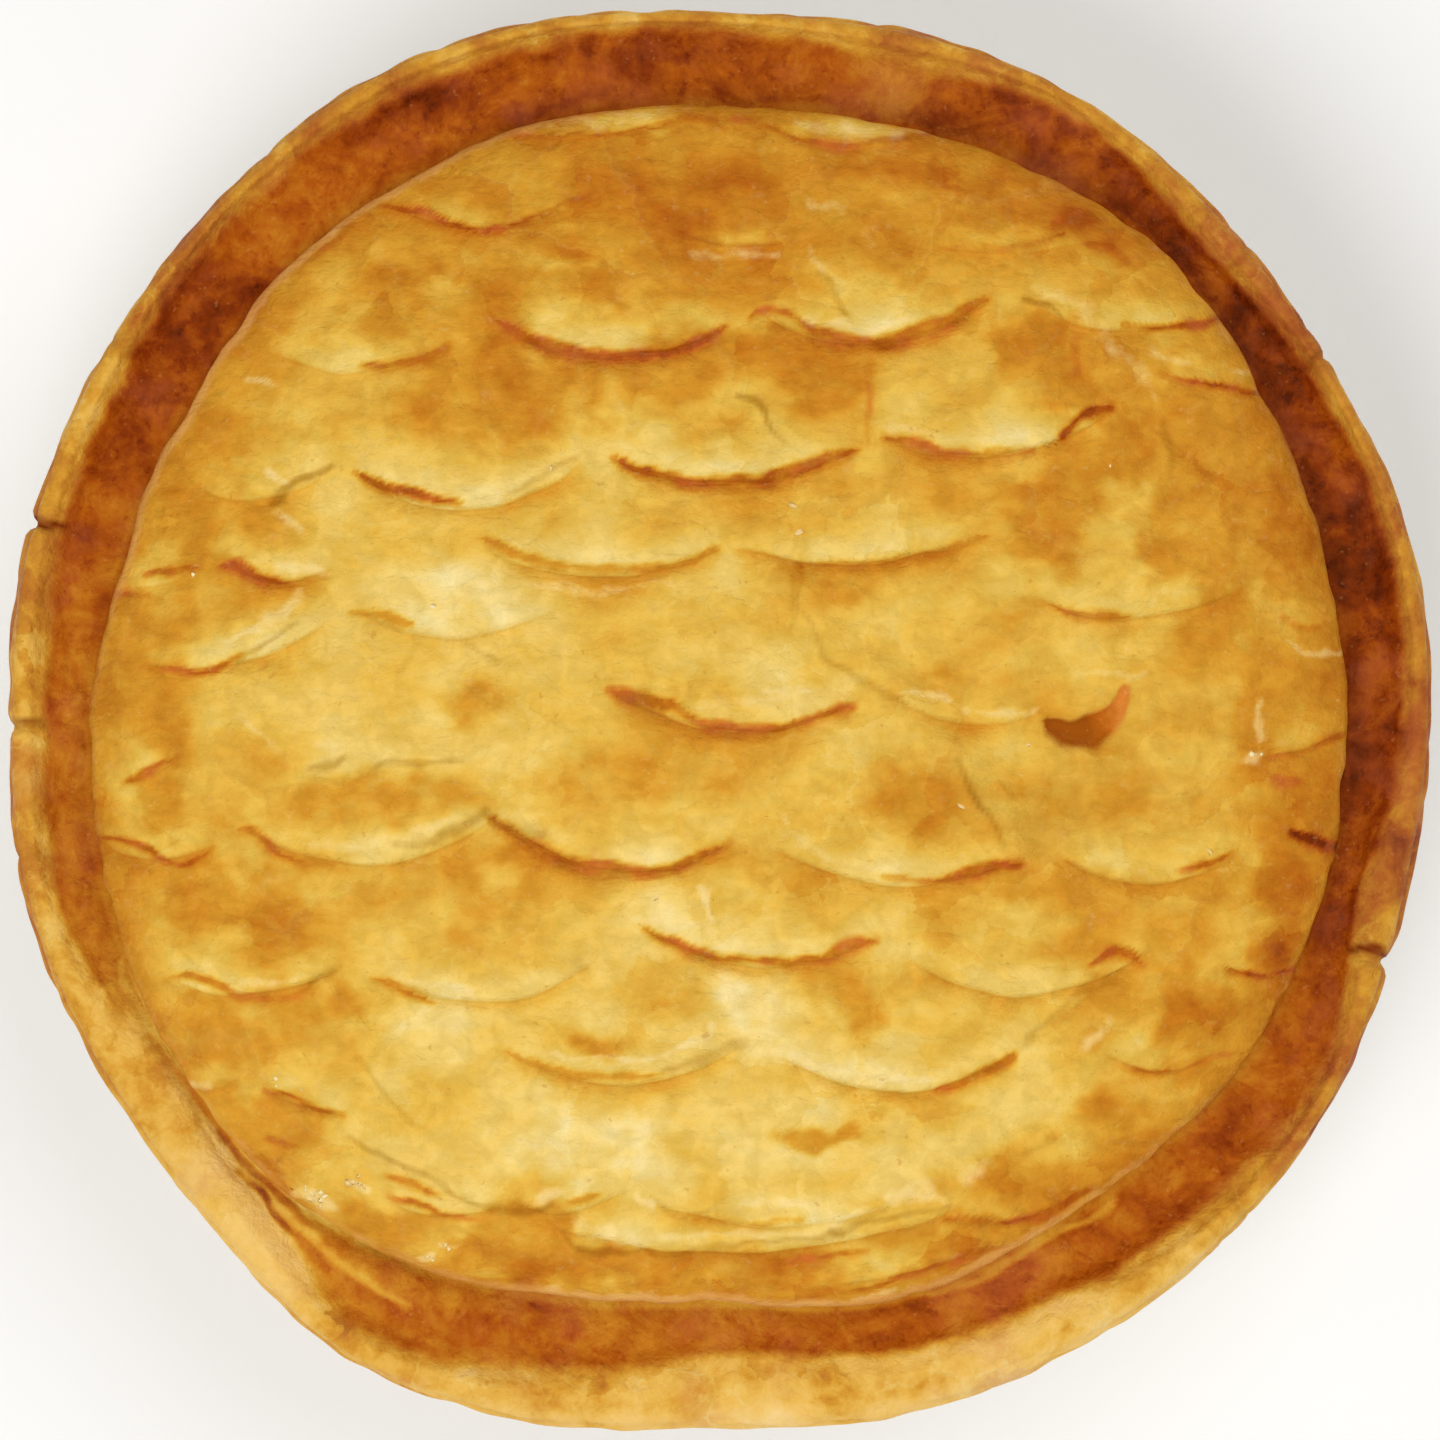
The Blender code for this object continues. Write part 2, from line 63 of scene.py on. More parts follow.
# Radii, and the groove's depth under the crest, every 15 degrees from +X towards +Y
OUTLINE = (
    100.2, 100.4, 99.5, 100.2, 101.3, 100.7, 99.8, 101.8, 103.1, 101.6, 101.1, 100.9,
    100.2, 101.1, 100.2, 101.0, 103.9, 102.1, 99.6, 101.1, 101.6, 101.9, 101.3, 99.8,
)
GROOVE_OUTSIDE = (
    95.5, 96.3, 95.9, 94.9, 98.0, 96.0, 96.5, 98.4, 98.7, 98.0, 96.5, 95.9,
    94.9, 96.0, 93.0, 93.9, 98.5, 94.1, 89.0, 91.7, 93.4, 96.6, 97.3, 92.8,
)
LID_EDGE = (
    87.9, 87.8, 88.5, 90.3, 88.9, 86.8, 86.0, 87.5, 87.4, 87.6, 86.7, 86.8,
    88.2, 89.2, 89.6, 89.7, 87.5, 83.6, 81.5, 84.3, 85.1, 85.8, 87.9, 87.9,
)
GROOVE_DEPTH = (
    3.6, 3.8, 3.9, 3.6, 3.4, 3.0, 3.4, 3.6, 3.8, 3.9, 3.8, 3.6,
    3.5, 3.2, 1.2, 1.8, 3.0, 3.0, 2.8, 3.0, 3.4, 3.6, 3.6, 3.2,
)

RIM_CREST = 43 * MM
RIM_WAVE = 0.7 * MM
RIM_INSET = 0.12 * MM
RIM_SIDE_DROP = 4.2 * MM
RIM_DROOP = 2.4 * MM
LID_EDGE_THICKNESS = 1.8 * MM
DOME_RISE = 5.0 * MM
SHOULDER_RISE = 8.0 * MM
SEAT_DROP = 3.4 * MM
LID_HOLLOW = 0.79

FLAKE_ANGLES = (math.radians(226), math.radians(252))
FLAKE_RISE = 1.3 * MM
CRACK_HALF_WIDTH = math.radians(0.7)
# The cracks in the rim: angle in degrees, and depth
RIM_CRACKS = (
    (31, 0.7 * MM), (42, 0.3 * MM), (148, 0.3 * MM), (164, 2.0 * MM),
    (180.5, 1.0 * MM), (191, 0.4 * MM), (317, 0.3 * MM), (340, 1.7 * MM),
)
CRACK_WANDER = math.radians(0.9)
DARK_CRACK_DEPTH = 1.2 * MM

DISH_RADIUS = 95 * MM
DISH_HEIGHT = 36 * MM
DISH_MOUTH_RADIUS = 87.5 * MM
DISH_FOOT_RADIUS = 71 * MM
DISH_FLOOR = 4 * MM
DISH_FLOOR_RADIUS = 66.8 * MM
DISH_GAP = 0.45 * MM
DISH_RIM_THICKNESS = 3.4 * MM
DISH_WALL_OFFSET = 1.6 * MM
# How far out the dish's corners are rounded
FOOT_ROUNDING = 2.0 * MM
RIM_ROUNDING = 1.3 * MM
MOUTH_ROUNDING = 1.5 * MM
FLOOR_ROUNDING = 3.0 * MM

# The lid's curved cuts in millimetres, by rows from the back to the front: left end x, y, right end x, y,
# how far the middle sags towards the front, and how wide the cut has opened
CUT_ROWS = (
    ((-31, 82, -4, 85, 2.5, 0.6), (5, 84, 33, 82, 3.5, 0.6)),
    ((-47, 72, -16, 73, 4, 0.9), (-11, 71, 18, 69, 4, 0.4), (22, 69, 51, 67, 3, 0.4)),
    ((-64, 52, -37, 53, 4, 0.5), (-30, 54.5, 1, 54, 4, 1)),
    ((6, 56, 37.5, 58, 5, 1), (43, 58, 70, 57, 3.5, 0.5), (62, 48, 77, 46, 0.5, 0.6)),
    ((-74, 34, -54, 35, 4, 0.5), (-50, 34, -19, 36, 6, 0.9)),
    ((-14.5, 35.5, 18.5, 37.5, 4, 1), (22, 39, 54, 43, 4.5, 0.9)),
    ((-86, 19, -73, 21, 1.5, 0.5), (-68, 22, -53.5, 21, 2, 0.9)),
    ((-32.5, 24, 0, 23.5, 4, 1), (1.5, 24, 36.5, 25.5, 3, 0.9)),
    ((43, 17, 73, 19, 3.5, 0.6), (-80, 8, -54, 14, 3, 0.8)),
    ((-50, 15, -22, 16, 4, 0.5), (-14.5, 4, 19, 3, 5, 1), (24, 4, 43, 1, 2.5, 0.5)),
    ((75, -5, 87, -2, 0.5, 0.5), (-82, -8, -75, -5, 0.5, 0.6)),
    ((-88, -16, -70.5, -17.5, 2.5, 0.8), (-66, -14.5, -31.5, -13.5, 6, 0.6)),
    ((-31, -13.5, 2, -17, 5.5, 1), (8, -18, 41, -18.5, 4.5, 0.8)),
    ((46, -18, 72, -18.5, 4.5, 0.6), (80, -16, 87, -18, 0.5, 0.7)),
    ((-76, -36, -52.5, -34.5, 2.5, 0.8), (-47, -35, -17, -33, 5, 0.6)),
    ((-10, -29, 21.5, -30, 4.5, 1), (25, -32, 60, -31, 6.5, 0.6), (70, -34, 83, -34.5, 1.5, 0.6)),
    ((-73, -51, -67, -49, 1, 0.6), (-63, -51, -52, -55, 0.5, 0.8)),
    ((-30, -45, 3.5, -44.5, 5.5, 0.7), (8, -46, 41, -45.5, 5.5, 0.8)),
    ((53, -46, 69, -46, 2.5, 0.6), (-46, -66, -31, -67.5, 2, 0.7)),
    ((-29.5, -66, -13, -65, 2.5, 0.6), (-10.5, -66, 25, -66.5, 3.5, 0.6)),
    ((31.5, -69, 48, -66.5, 2, 0.6),),
)
LAYER_STEPS = (
    (-24, -70, 34, -67, 5, 0.9), (10, -79.5, 41, -72, 1, 0.5), (-64, -60, -24, -77, 7, 0.6),
)
# Finer wrinkles, in the same way
WRINKLES = (
    (-16.2, 50.5, -16.8, 43.5, 0.4, 0.25), (42.5, 58.5, 50, 50, 0.8, 0.3), (50, 50, 58, 40, 0.5, 0.25),
    (51.5, -35, 58.5, -32, 0.8, 0.3), (-63, -57, -59.5, -59.5, 0.3, 0.3), (12, 27, 10, 15, -0.8, 0.3),
    (-52, -42, -42, -56, 1, 0.25), (-52, -57, -32, -67, 1.2, 0.3), (13, 63, 18, 56, 0.3, 0.3),
    (-4, 64, 8, 64, 0.4, 0.25), (56, 55, 69, 56, 0.5, 0.3), (33, -5, 39, -16, 0.6, 0.25),
    (-71, 50, -62, 62, -1.5, 0.3), (-62, 62, -50, 70.5, -1, 0.3), (78, 14, 84, 13, 0.3, 0.4),
    (42, -44, 56, -34, 0.6, 0.25),
)
CUT_LIP_RISE = 1.0 * MM
CUT_LIP_REACH = 6.0 * MM
CUT_FOOT_DROP = 1.2 * MM
CUT_FOOT_REACH = 3.0 * MM
CUT_HALF_WIDTH = 0.22 * MM
# The narrow slot that stays open right under a cut's lip
CUT_SLOT_DEPTH = 0.3 * MM
CUT_SLOT_MIDDLE = 0.55 * MM
CUT_SLOT_REACH = 0.5 * MM
CUT_WAVER = 0.45 * MM
CUT_WAVER_SIZE = 6 * MM
CUT_TAPER = 0.6
# How near to a lip its two rows of vertices are drawn, and how much of their own distance they keep
LIP_EDGE_HALF_WIDTH = 0.15 * MM
LIP_EDGE_KEEP = 0.12

# x, y and width at each point of the steam hole, after its strength
STEAM_HOLE = (
    1, 45.4, -0.6, 1.8, 47.4, -1.7, 4, 49.8, -1.8, 5.2, 52.2, -0.8, 5, 53.8, 1.4, 3.6, 55, 3.6, 2.6,
)
STEAM_HOLE_DEPTH = 1.1 * MM
CREASE = ((10.5, 19.5), (15.5, 10), (24, 4.5), (33.5, -5.5), (37, -12.5), (41, -18))
CREASE_RISE = 1.1 * MM
CREASE_REACH = 2.4 * MM

# ---------- Its finer relief and unevenness ----------

# Bumps and mottles: size in millimetres, height or weight, seed, and how stretched across they are
SWELLS = ((34, 1.3, 3), (17, 0.8, 5), (8, 0.35, 8))
LID_BUMPS = ((4.2, 0.16, 21), (1.9, 0.07, 22))
RIM_BUMPS = ((5.5, 0.38, 61), (2.4, 0.18, 62))
LID_EDGE_WAVES = ((7, 1, 42), (2.8, 0.6, 43))
LID_MOTTLES = ((24, 0.06, 31), (10, 0.07, 32), (4.5, 0.05, 33, 1.8), (2, 0.03, 34, 2.2))
PATCH_MOTTLES = ((4, 0.35, 36, 1.6), (1.8, 0.25, 37))
POOL_WAVES = ((7, 0.26, 51), (2.6, 0.16, 52), (24, 0.3, 55))
RIM_MOTTLES = ((12, 0.08, 53), (5, 0.07, 56), (2.2, 0.04, 54))

# Thin ragged layers: size, how many in it, and seed, then their height
LID_LAYERS = (22 * MM, 4, 23)
LID_LAYER_HEIGHT = 0.22 * MM
RIM_LAYERS = (14 * MM, 3, 63)
RIM_LAYER_HEIGHT = 0.34 * MM
SIDE_SHEET_THICKNESS = 0.42 * MM
SIDE_SHEET_DEPTH = 0.22 * MM
SIDE_ROUGHNESS = 0.25 * MM
# The lid's cut edge: how far its layers bulge, and how uneven they are
WALL_BULGE = 0.25 * MM
WALL_ROUGHNESS = 0.12 * MM
# How the lid's edge wavers: how far inwards, where between the middle and the edge it starts, and its bias
LID_EDGE_WAVER = 0.55 * MM
LID_WAVER_START = 0.6
LID_WAVER_BIAS = 0.8

# How outlines are torn: seed, and how far places move in broad and in fine waves, in millimetres
PATCH_TEAR = (35, 2.0, 1.3)
TOASTED_TEAR = (45, 0.5, 0.35)
SHADED_TEAR = (55, 0.8, 0.6)
RIM_TEAR = (58, 0.7, 0.4)
SHADY_TEAR = (65, 2.4, 1.2)
PALE_TEAR = (75, 0.8, 0.6)
HOLE_TEAR = (85, 0.9, 0.6)
BROAD_TEAR_SIZE = 7 * MM
FINE_TEAR_SIZE = 2.4 * MM

# How a drawn line fades, in its half widths: where that starts and ends behind it, where it starts and
# ends in front of it, and how strong the faint skirt round it is
TOASTED_STROKE = (0.4, 1.35, 0.1, 1.9, 0.24)
SOFT_STROKE = (0.1, 1.7, 0.1, 1.7, 0)
RIM_STROKE = (0.3, 1.4, 0.3, 1.4, 0)
HOLE_STROKE = (0.5, 1.15, 0.2, 1.45, 0)
SKIRT_START = 0.4
SKIRT_REACH = 3.4
THINNEST_HALF = 0.6 * MM
# How many straight pieces a line has between two of its points
LINE_SPAN = 4

# ---------- What the oven did to its surface ----------

LID_TONE = 0.32
# Past this tone a patch darkens more slowly
DARKEST_PATCH = 0.535
DARK_SLOPE = 0.3
# How a cut browns the lid in front of it, by reach and share, as baked browning with painted shade under
# the lip above, and the painted highlight that pales the lip behind it
CUT_HALO = 0.12
CUT_HALO_REACHES = ((3.4 * MM, 1), (9 * MM, 0.5))
CUT_LIP_HIGHLIGHT = 0.15
CUT_HIGHLIGHT_PLACE = -1.8 * MM
CUT_HIGHLIGHT_REACH = 2.2 * MM
CUT_PAINT_HALF_WIDTH = 0.2 * MM
# How brown the lid's wall is, where its cut edge and the steam hole's far side show
WALL_BROWNING = 0.35
CUT_EDGE_BAND = (0.978, 0.995)
HOLE_SIDE_BAND = (46 * MM, 58 * MM)

# Places on the lid that are browner, or paler: middle x, y, half width, half height, and how much
PATCHES = (
    (-8, -34, 18, 10, -0.11), (68, 28, 8, 20, 0.24), (54, 44, 12, 8, 0.26), (0, 71, 26, 5, 0.18),
    (-60, -20, 12, 16, 0.16), (-60, -42, 10, 10, 0.13), (30, -68, 12, 5, 0.17), (-26, -70, 6, 5, 0.29),
    (58, -32, 10, 8, 0.21), (-64, 40, 10, 8, 0.19), (-30, 44, 16, 10, 0.21), (76, 4, 4, 10, 0.33),
    (50, -24, 9, 4, 0.19), (24, 66, 7, 5, 0.21), (36, 6, 10, 9, 0.17), (-4, 50, 9, 5, 0.25),
    (-44, 58, 9, 6, 0.19), (-2, -12, 18, 8, -0.05), (12, 28, 16, 6, 0.05), (-30, -18, 9, 4, 0.15),
    (-52, 12, 10, 5, -0.03), (-72, 16, 5, 6, 0.23), (42, -62, 7, 5, 0.16), (66, -44, 6, 5, 0.28),
    (24, -54, 8, 4, 0.13), (-34, -56, 8, 4, 0.07), (-20, 60, 8, 3, 0.22), (0.5, 77, 6, 4, 0.23),
    (-16, 76.5, 11, 4, 0.24), (-33, 74, 4, 4, 0.05), (26, 75.8, 10, 2.2, 0.31), (12, 77, 8, 3, 0.08),
    (40, 73, 7, 4, 0.31), (50, 69.6, 3.2, 2.4, 0.22), (55, 66, 4, 1.8, 0.18), (62, 62, 5, 4, 0.06),
    (2, 61, 10, 3.2, 0.19), (-22, 66, 4, 1.8, 0.41), (-8, 66, 8, 6, 0.18), (8, 52.5, 6, 2.6, 0.12),
    (-31, 55, 5, 8, 0.28), (-40, 46, 7, 4, 0.03), (13, 47, 8, 4, 0.16), (-2, 43, 6, 5, 0.15),
    (44, 53, 6, 3, 0.19), (-50, 63, 8, 4, -0.09), (-60, 54, 8, 6, 0.19), (-30, 72, 5, 3, 0.14),
    (-14, 83.6, 8, 1.6, -0.16), (18, 82.6, 9, 1.6, -0.14), (-38, 76, 5, 3, -0.06), (49, 36, 4, 2.4, 0.15),
    (56, 38, 3, 5, 0.13), (65, 33, 3, 5, 0.26), (61, 27, 4, 6, 0.19), (46, 30, 7, 5, 0.27),
    (76, 35, 4, 8, 0.12), (36, 30, 8, 4, 0.07), (44, 24, 6, 4, 0.25), (-26, 37, 9, 3.5, -0.09),
    (-35, 18, 15, 5, -0.17), (-33, 4, 4, 4, 0.18), (-75, 27, 5, 7, 0.2), (-62, 27, 5, 4, 0.09),
    (-84, 6, 4, 12, 0.16), (-77, 3, 4.5, 6, 0.25), (-78, 13, 5, 3, 0.15), (-79, -12, 4, 4, 0.23),
    (-14, -9, 14, 5, 0.15), (-42, -10, 12, 3.6, 0.22), (-46, -1, 14, 5, -0.02), (3, 9, 9, 5, -0.12),
    (-12, 27, 14, 4, 0.02), (50, -9, 10, 6, 0.1), (27, -11, 7, 6, 0.17), (14.5, 17, 4, 3.5, 0.19),
    (20, 12, 5, 4, -0.02), (57, 20, 8, 4, -0.02), (36, 9, 9, 3, -0.07), (-10, -16.5, 10, 2.4, 0.05),
    (79, 26, 3.4, 11, 0.27), (84, 22, 2.6, 9, 0.22), (83, 6, 3.5, 6, 0.19), (81, -11, 4.5, 5, 0.2),
    (84.5, -9, 2, 5, 0.14), (78.5, -23, 4, 8.5, 0.37), (76.5, -31, 4.6, 3, 0.37), (67, -40, 4.4, 3.2, 0.3),
    (73, -41, 3, 3, 0.1), (70.5, -17, 3, 12, -0.04), (72, 0, 3, 6, -0.02), (62, -37, 3, 4, 0.07),
    (-72, -24, 5, 6, 0.18), (-60, -26, 4, 4.5, 0.28), (-35, -26, 2.5, 7, 0.1), (-53, -40, 3, 3, 0.11),
    (-62, -44, 3, 4, 0.14), (-71, -42, 5, 5, 0.19), (-60, -55.5, 5, 3, 0.22), (-66, -55, 4, 3, 0.08),
    (-47, -70, 6, 3, 0.12), (-28, -75.4, 9, 3, 0.35), (-14, -76.5, 9, 2.6, 0.26),
    (12, -75.5, 11, 2.2, 0.23), (36, -73.5, 9, 2.8, 0.27), (47, -67, 6, 2.8, 0.2), (45, -63, 8, 2.6, 0.18),
    (-17, -43.5, 4.5, 1.8, 0.31), (-8, -39, 7, 4, 0.16), (-18, -58, 13, 7, -0.24), (-40, -43, 8, 5, -0.13),
    (-44, -53, 5, 4, -0.02), (19.5, -39.5, 3.2, 4.5, 0.14), (12, -57.5, 4.5, 2, 0.37),
    (19, -56, 2.5, 1.5, 0.28), (33, -60, 9, 4, 0.02), (53, -54, 5, 3, 0.29), (3, -62, 10, 5, -0.07),
    (4, -52.5, 12, 4, -0.03), (5, -38, 5, 5, -0.2), (-4, -24, 7, 4, -0.08), (50, -43, 5, 3, 0.07),
    (30, -41, 7, 4, -0.11), (58, -27, 8, 4, -0.02), (56, -60, 5, 4, 0.12),
)

# Places on the lid that lie in olive shade, in the same way
SHADY_PLACES = (
    (52, -10, 15, 8, 0.24), (42, -14, 10, 6, 0.14), (27, -9, 10, 9, 0.22), (2.6, 27.5, 3, 2, 0.3),
    (-56.6, -11, 2.2, 3.6, 0.3), (-43, -8.6, 13, 3, 0.22), (-9, -38.5, 7, 4, 0.22), (4, 13, 6, 3, 0.22),
    (-17, 14, 8, 3, 0.16), (-33, 4, 3.6, 3, 0.24), (35, 46, 9, 5, 0.16), (-2, -8, 10, 5, 0.12),
    (60, 11, 9, 3, 0.12), (8, 44, 3, 3, 0.2), (-35, -22, 2.6, 4, 0.2),
)

# Lines drawn on the lid by the cuts and folds: how dark, then x, y and width at each of their points.
# Toasted ones are brown
TOASTED_LINES = (
    # the back
    (0.55, -31, 82.2, 1.2, -24, 81.2, 1.5, -16, 81.2, 1.4, -9, 82.3, 1.2, -3, 84, 1, 4, 83.6, 1.1,
     10, 80.7, 1.5, 16, 79.6, 1.9, 23, 80.1, 2, 29, 81.5, 1.5, 33, 82.6, 0.9),
    (0.9, -47.6, 71.6, 0.9, -45, 71.3, 2, -40, 70.2, 1.9, -36, 69, 1.4, -31, 68.3, 1.1, -26, 69.6, 1,
     -18, 72.8, 0.7), (0.66, 32, 65.4, 0.7, 38, 65.1, 0.9, 44, 66.2, 0.9, 48, 67, 1.2),
    (0.86, -31.6, 55.4, 0.9, -28.5, 54, 2.3, -24, 52.2, 2.7, -18, 50.9, 2.4, -13, 50.4, 2, -7, 51.2, 2,
     -2.5, 53, 2.1, 0.9, 54.4, 1),
    (0.56, 4.2, 55, 0.9, 6, 56.5, 1.5, 8.3, 56.5, 1.5, 11, 54.8, 1.1, 16, 52.8, 2.1, 21, 52.1, 2.7,
     27, 53, 2.9, 32, 55.4, 2.8, 36.8, 58, 1.4),
    (0.4, -49.6, 48.8, 0.9, -45.5, 49.3, 1.9, -41, 50.3, 1.7, -37.4, 52, 1),
    (0.93, 56, 55, 0.9, 60, 54.4, 1.1, 64, 54.7, 1.6, 69.5, 56.6, 1.3),
    (0.93, 62, 47.6, 0.8, 66, 46.7, 1.2, 76.5, 46, 1.6),
    (0.64, 46.6, 68.4, 2, 49.4, 69.6, 4.2, 52, 69.6, 2),
    (0.3, 51.6, 66, 1.2, 54, 65.2, 3.2, 57, 63.8, 1.2),
    (0.44, 20.3, 38.8, 0.8, 20.6, 44, 1, 20.8, 50, 0.8), (0.36, 49, 52.6, 1.6, 49.2, 48, 1.3),
    (0.42, -69.6, 50.4, 0.8, -66, 56, 1, -63.4, 59.6, 0.8),
    (0.41, -58.6, 63.4, 0.8, -54.5, 66.6, 1, -51, 69.3, 0.8),
    (0.25, -16.2, 50, 0.8, -16.2, 46, 0.9, -18, 43.4, 1, -15, 40.6, 0.7),
    # the middle
    (0.78, -14.6, 36, 0.9, -11.5, 35, 2, -6, 33.2, 2.1, 0, 32.5, 2, 6, 32.9, 2, 11, 34.4, 2.2,
     15, 36.3, 2.4, 18.8, 37.6, 1.1),
    (0.54, 22.6, 39, 1, 26.5, 38, 1.9, 30, 37, 1.4, 36, 36.7, 0.9, 43, 37.5, 0.8),
    (1, 47.3, 39.8, 1.5, 49.6, 41.5, 1.2, 51.5, 42.5, 2.3, 54.4, 43, 1.5),
    (0.79, -50.4, 34.1, 0.9, -47.5, 32.7, 2.1, -44, 31.5, 1.8, -40, 30.3, 1.6, -36, 29.6, 0.9),
    (0.59, -80, 20, 0.9, -77.5, 20.8, 1.5, -74, 21.4, 1.8, -72.5, 21.5, 1),
    (0.54, -87, 17.6, 1.8, -82, 17.4, 1.3, -78, 16.9, 0.8),
    (0.83, -69.2, 21.8, 0.9, -67, 21.9, 2.4, -64.5, 20.6, 2.3, -62, 19.4, 1.6, -59, 19, 0.9),
    (0.14, -32.8, 25, 1.1, -30, 23.8, 2.3, -26, 22.2, 2.3, -21, 21, 2.1, -16, 20.5, 2, -10, 20.7, 2,
     -5, 21.9, 2, -1.6, 23.2, 2.2, -0.2, 23.5, 1.1), (0.42, -3.4, 22.8, 0.9, -0.8, 23.4, 1.4),
    (0.23, 14, 21, 0.8, 20, 21.2, 1.3, 26, 22, 1.6, 30, 23.2, 1.9, 34, 24.8, 2.1, 37, 26, 1.2),
    (0.31, 42, 17, 0.8, 45.5, 15.9, 1.1, 49, 14.6, 1.9, 53, 14.3, 2, 56, 14.7, 1),
    (0.06, -50.3, 14.7, 1.1, -47, 14.2, 2.1, -44, 13.5, 2.1, -42.3, 13.1, 0.9),
    (0.53, -79.4, 7, 0.8, -76, 6.8, 1.3, -72.5, 6.8, 1.3, -69.5, 7.7, 1.2, -66, 9.2, 0.9),
    (0.59, -7.6, 2.6, 1.8, -5.6, 1, 2.1, -3, -0.5, 2, 1, -1.2, 2, 6, -1.5, 2.1, 10, -0.6, 1.5,
     14, 0.7, 1.6, 17.4, 1.8, 2, 18.8, 2.3, 1),
    (0.76, -14.6, 4.2, 1.8, -12, 3.2, 3.6, -8.6, 2, 3.6, -7.4, 1.8, 2),
    (0.6, -82.8, -8.7, 0.8, -80, -7.5, 1.7, -77.5, -6, 1.4, -75, -5, 0.8),
    (0.66, -88, -16.4, 1.3, -84, -16.2, 1.2, -80.5, -17.6, 1.2, -78, -19.1, 1.2, -75.8, -19.8, 1.1,
     -73, -18.9, 1.4, -70.2, -17.3, 0.9),
    (0.43, -66.6, -15.2, 1, -64.8, -15.4, 2.3, -62.5, -17, 2.3, -60, -18.6, 1.5, -57.4, -19.7, 0.9),
    (0.57, -31.6, -13.6, 1.3, -29, -15.2, 2.7, -26, -17, 2.6, -22, -19.1, 2.3, -17, -20.3, 2.3,
     -11, -20.7, 2.3, -6, -19.8, 2, -2, -18, 1.6, 1.4, -16.9, 0.9),
    (0.47, 22, -21.8, 0.8, 27, -22, 1, 31, -21.9, 1.2),
    (0.76, 30, -22, 1.1, 34, -20.8, 2.3, 38, -19.8, 2.4, 42, -19.6, 1.1),
    (0.62, 63.5, -20.8, 0.9, 67, -20.3, 1.5, 71.7, -18.7, 0.9),
    (0.54, 78.3, 14, 0.9, 81, 13.1, 1.1, 84, 14, 0.8),
    (0.54, 76.5, -5, 0.9, 81, -4.2, 0.9, 84.5, -2.6, 1.3, 87.5, -2, 1),
    (1.35, 79.5, -15.6, 1, 83, -17, 1.8, 87, -17.8, 1.6), (0.5, 77, -8.2, 1.9, 79.8, -8.4, 1.5),
    # the front
    (0.42, -77, -36, 0.9, -74, -35.2, 1.2, -71, -35.8, 1.5, -68.5, -37, 1.5, -66.5, -38, 1,
     -62.5, -38.1, 1, -59, -37.6, 1, -56.6, -36.6, 0.9),
    (0.31, -47.8, -36.2, 1, -45, -37, 1.8, -42.5, -38.1, 1.6, -39.6, -38.8, 1),
    (0.54, -10.5, -29, 1, -7.5, -30.2, 1.5, -3.5, -31.9, 1.6, 1, -32.9, 1.8, 6, -33.4, 1.8, 11, -33.2, 1.8,
     15.5, -31.8, 2.1, 18.6, -30.4, 2.5, 21.4, -30.6, 1),
    (0.71, 51, -34.3, 0.9, 53.5, -32.6, 1.7, 56.5, -32.4, 2.3, 58.8, -33.9, 1.1),
    (1, 70.3, -34.4, 0.9, 74, -35.3, 1.1, 81, -35, 1.2),
    (0.06, -29.7, -45.6, 1, -27, -47.1, 2, -23, -48.5, 2.2, -18, -49.1, 2.2, -12.5, -49.4, 1.7,
     -8.3, -49.2, 0.9), (0.43, 30, -51, 1.2, 35, -49.4, 2, 38.5, -47.6, 2.2, 41, -46.3, 1.1),
    (0.62, 57.4, -48.6, 1, 61, -48.9, 1.2, 65, -48, 0.9, 71, -46.2, 0.9),
    (0.63, -63.2, -51.1, 0.9, -60.5, -51.6, 1.3, -58, -53.2, 1.6, -55.5, -54.4, 1.3, -52.4, -55.3, 0.8),
    (0.31, -75.6, -50.6, 0.8, -72, -51.5, 0.9, -68, -49.6, 0.8),
    (0.36, -62.8, -57.6, 0.8, -61, -58.2, 1.5, -58.8, -58.6, 0.7),
    (0.35, -46.4, -63.2, 0.7, -43, -64.2, 2.2, -39.4, -66, 0.7),
    (0.61, -46, -66.2, 0.8, -42, -67.1, 1.4, -38.6, -68.4, 1.1, -33, -68.9, 0.6),
    (0.06, -21.2, -67.2, 0.9, -18.6, -66.4, 1.7, -16.6, -65.7, 1),
    (0.06, -4, -69.3, 0.9, 3, -69.5, 1, 11, -69.2, 0.9),
    (0.56, 7, -80.6, 0.8, 13, -80.2, 1, 19, -79.1, 1.2, 25, -77.4, 1.2, 31, -75.5, 1.3, 37, -72.6, 1.4),
    (0.6, 9, -74.8, 0.9, 15, -74.4, 1.3, 20, -73.8, 0.9),
    (0.8, 31.5, -69, 1, 38, -69.5, 1, 43, -69, 1.8, 47.5, -67.3, 2.3, 52, -65.3, 1.5),
)

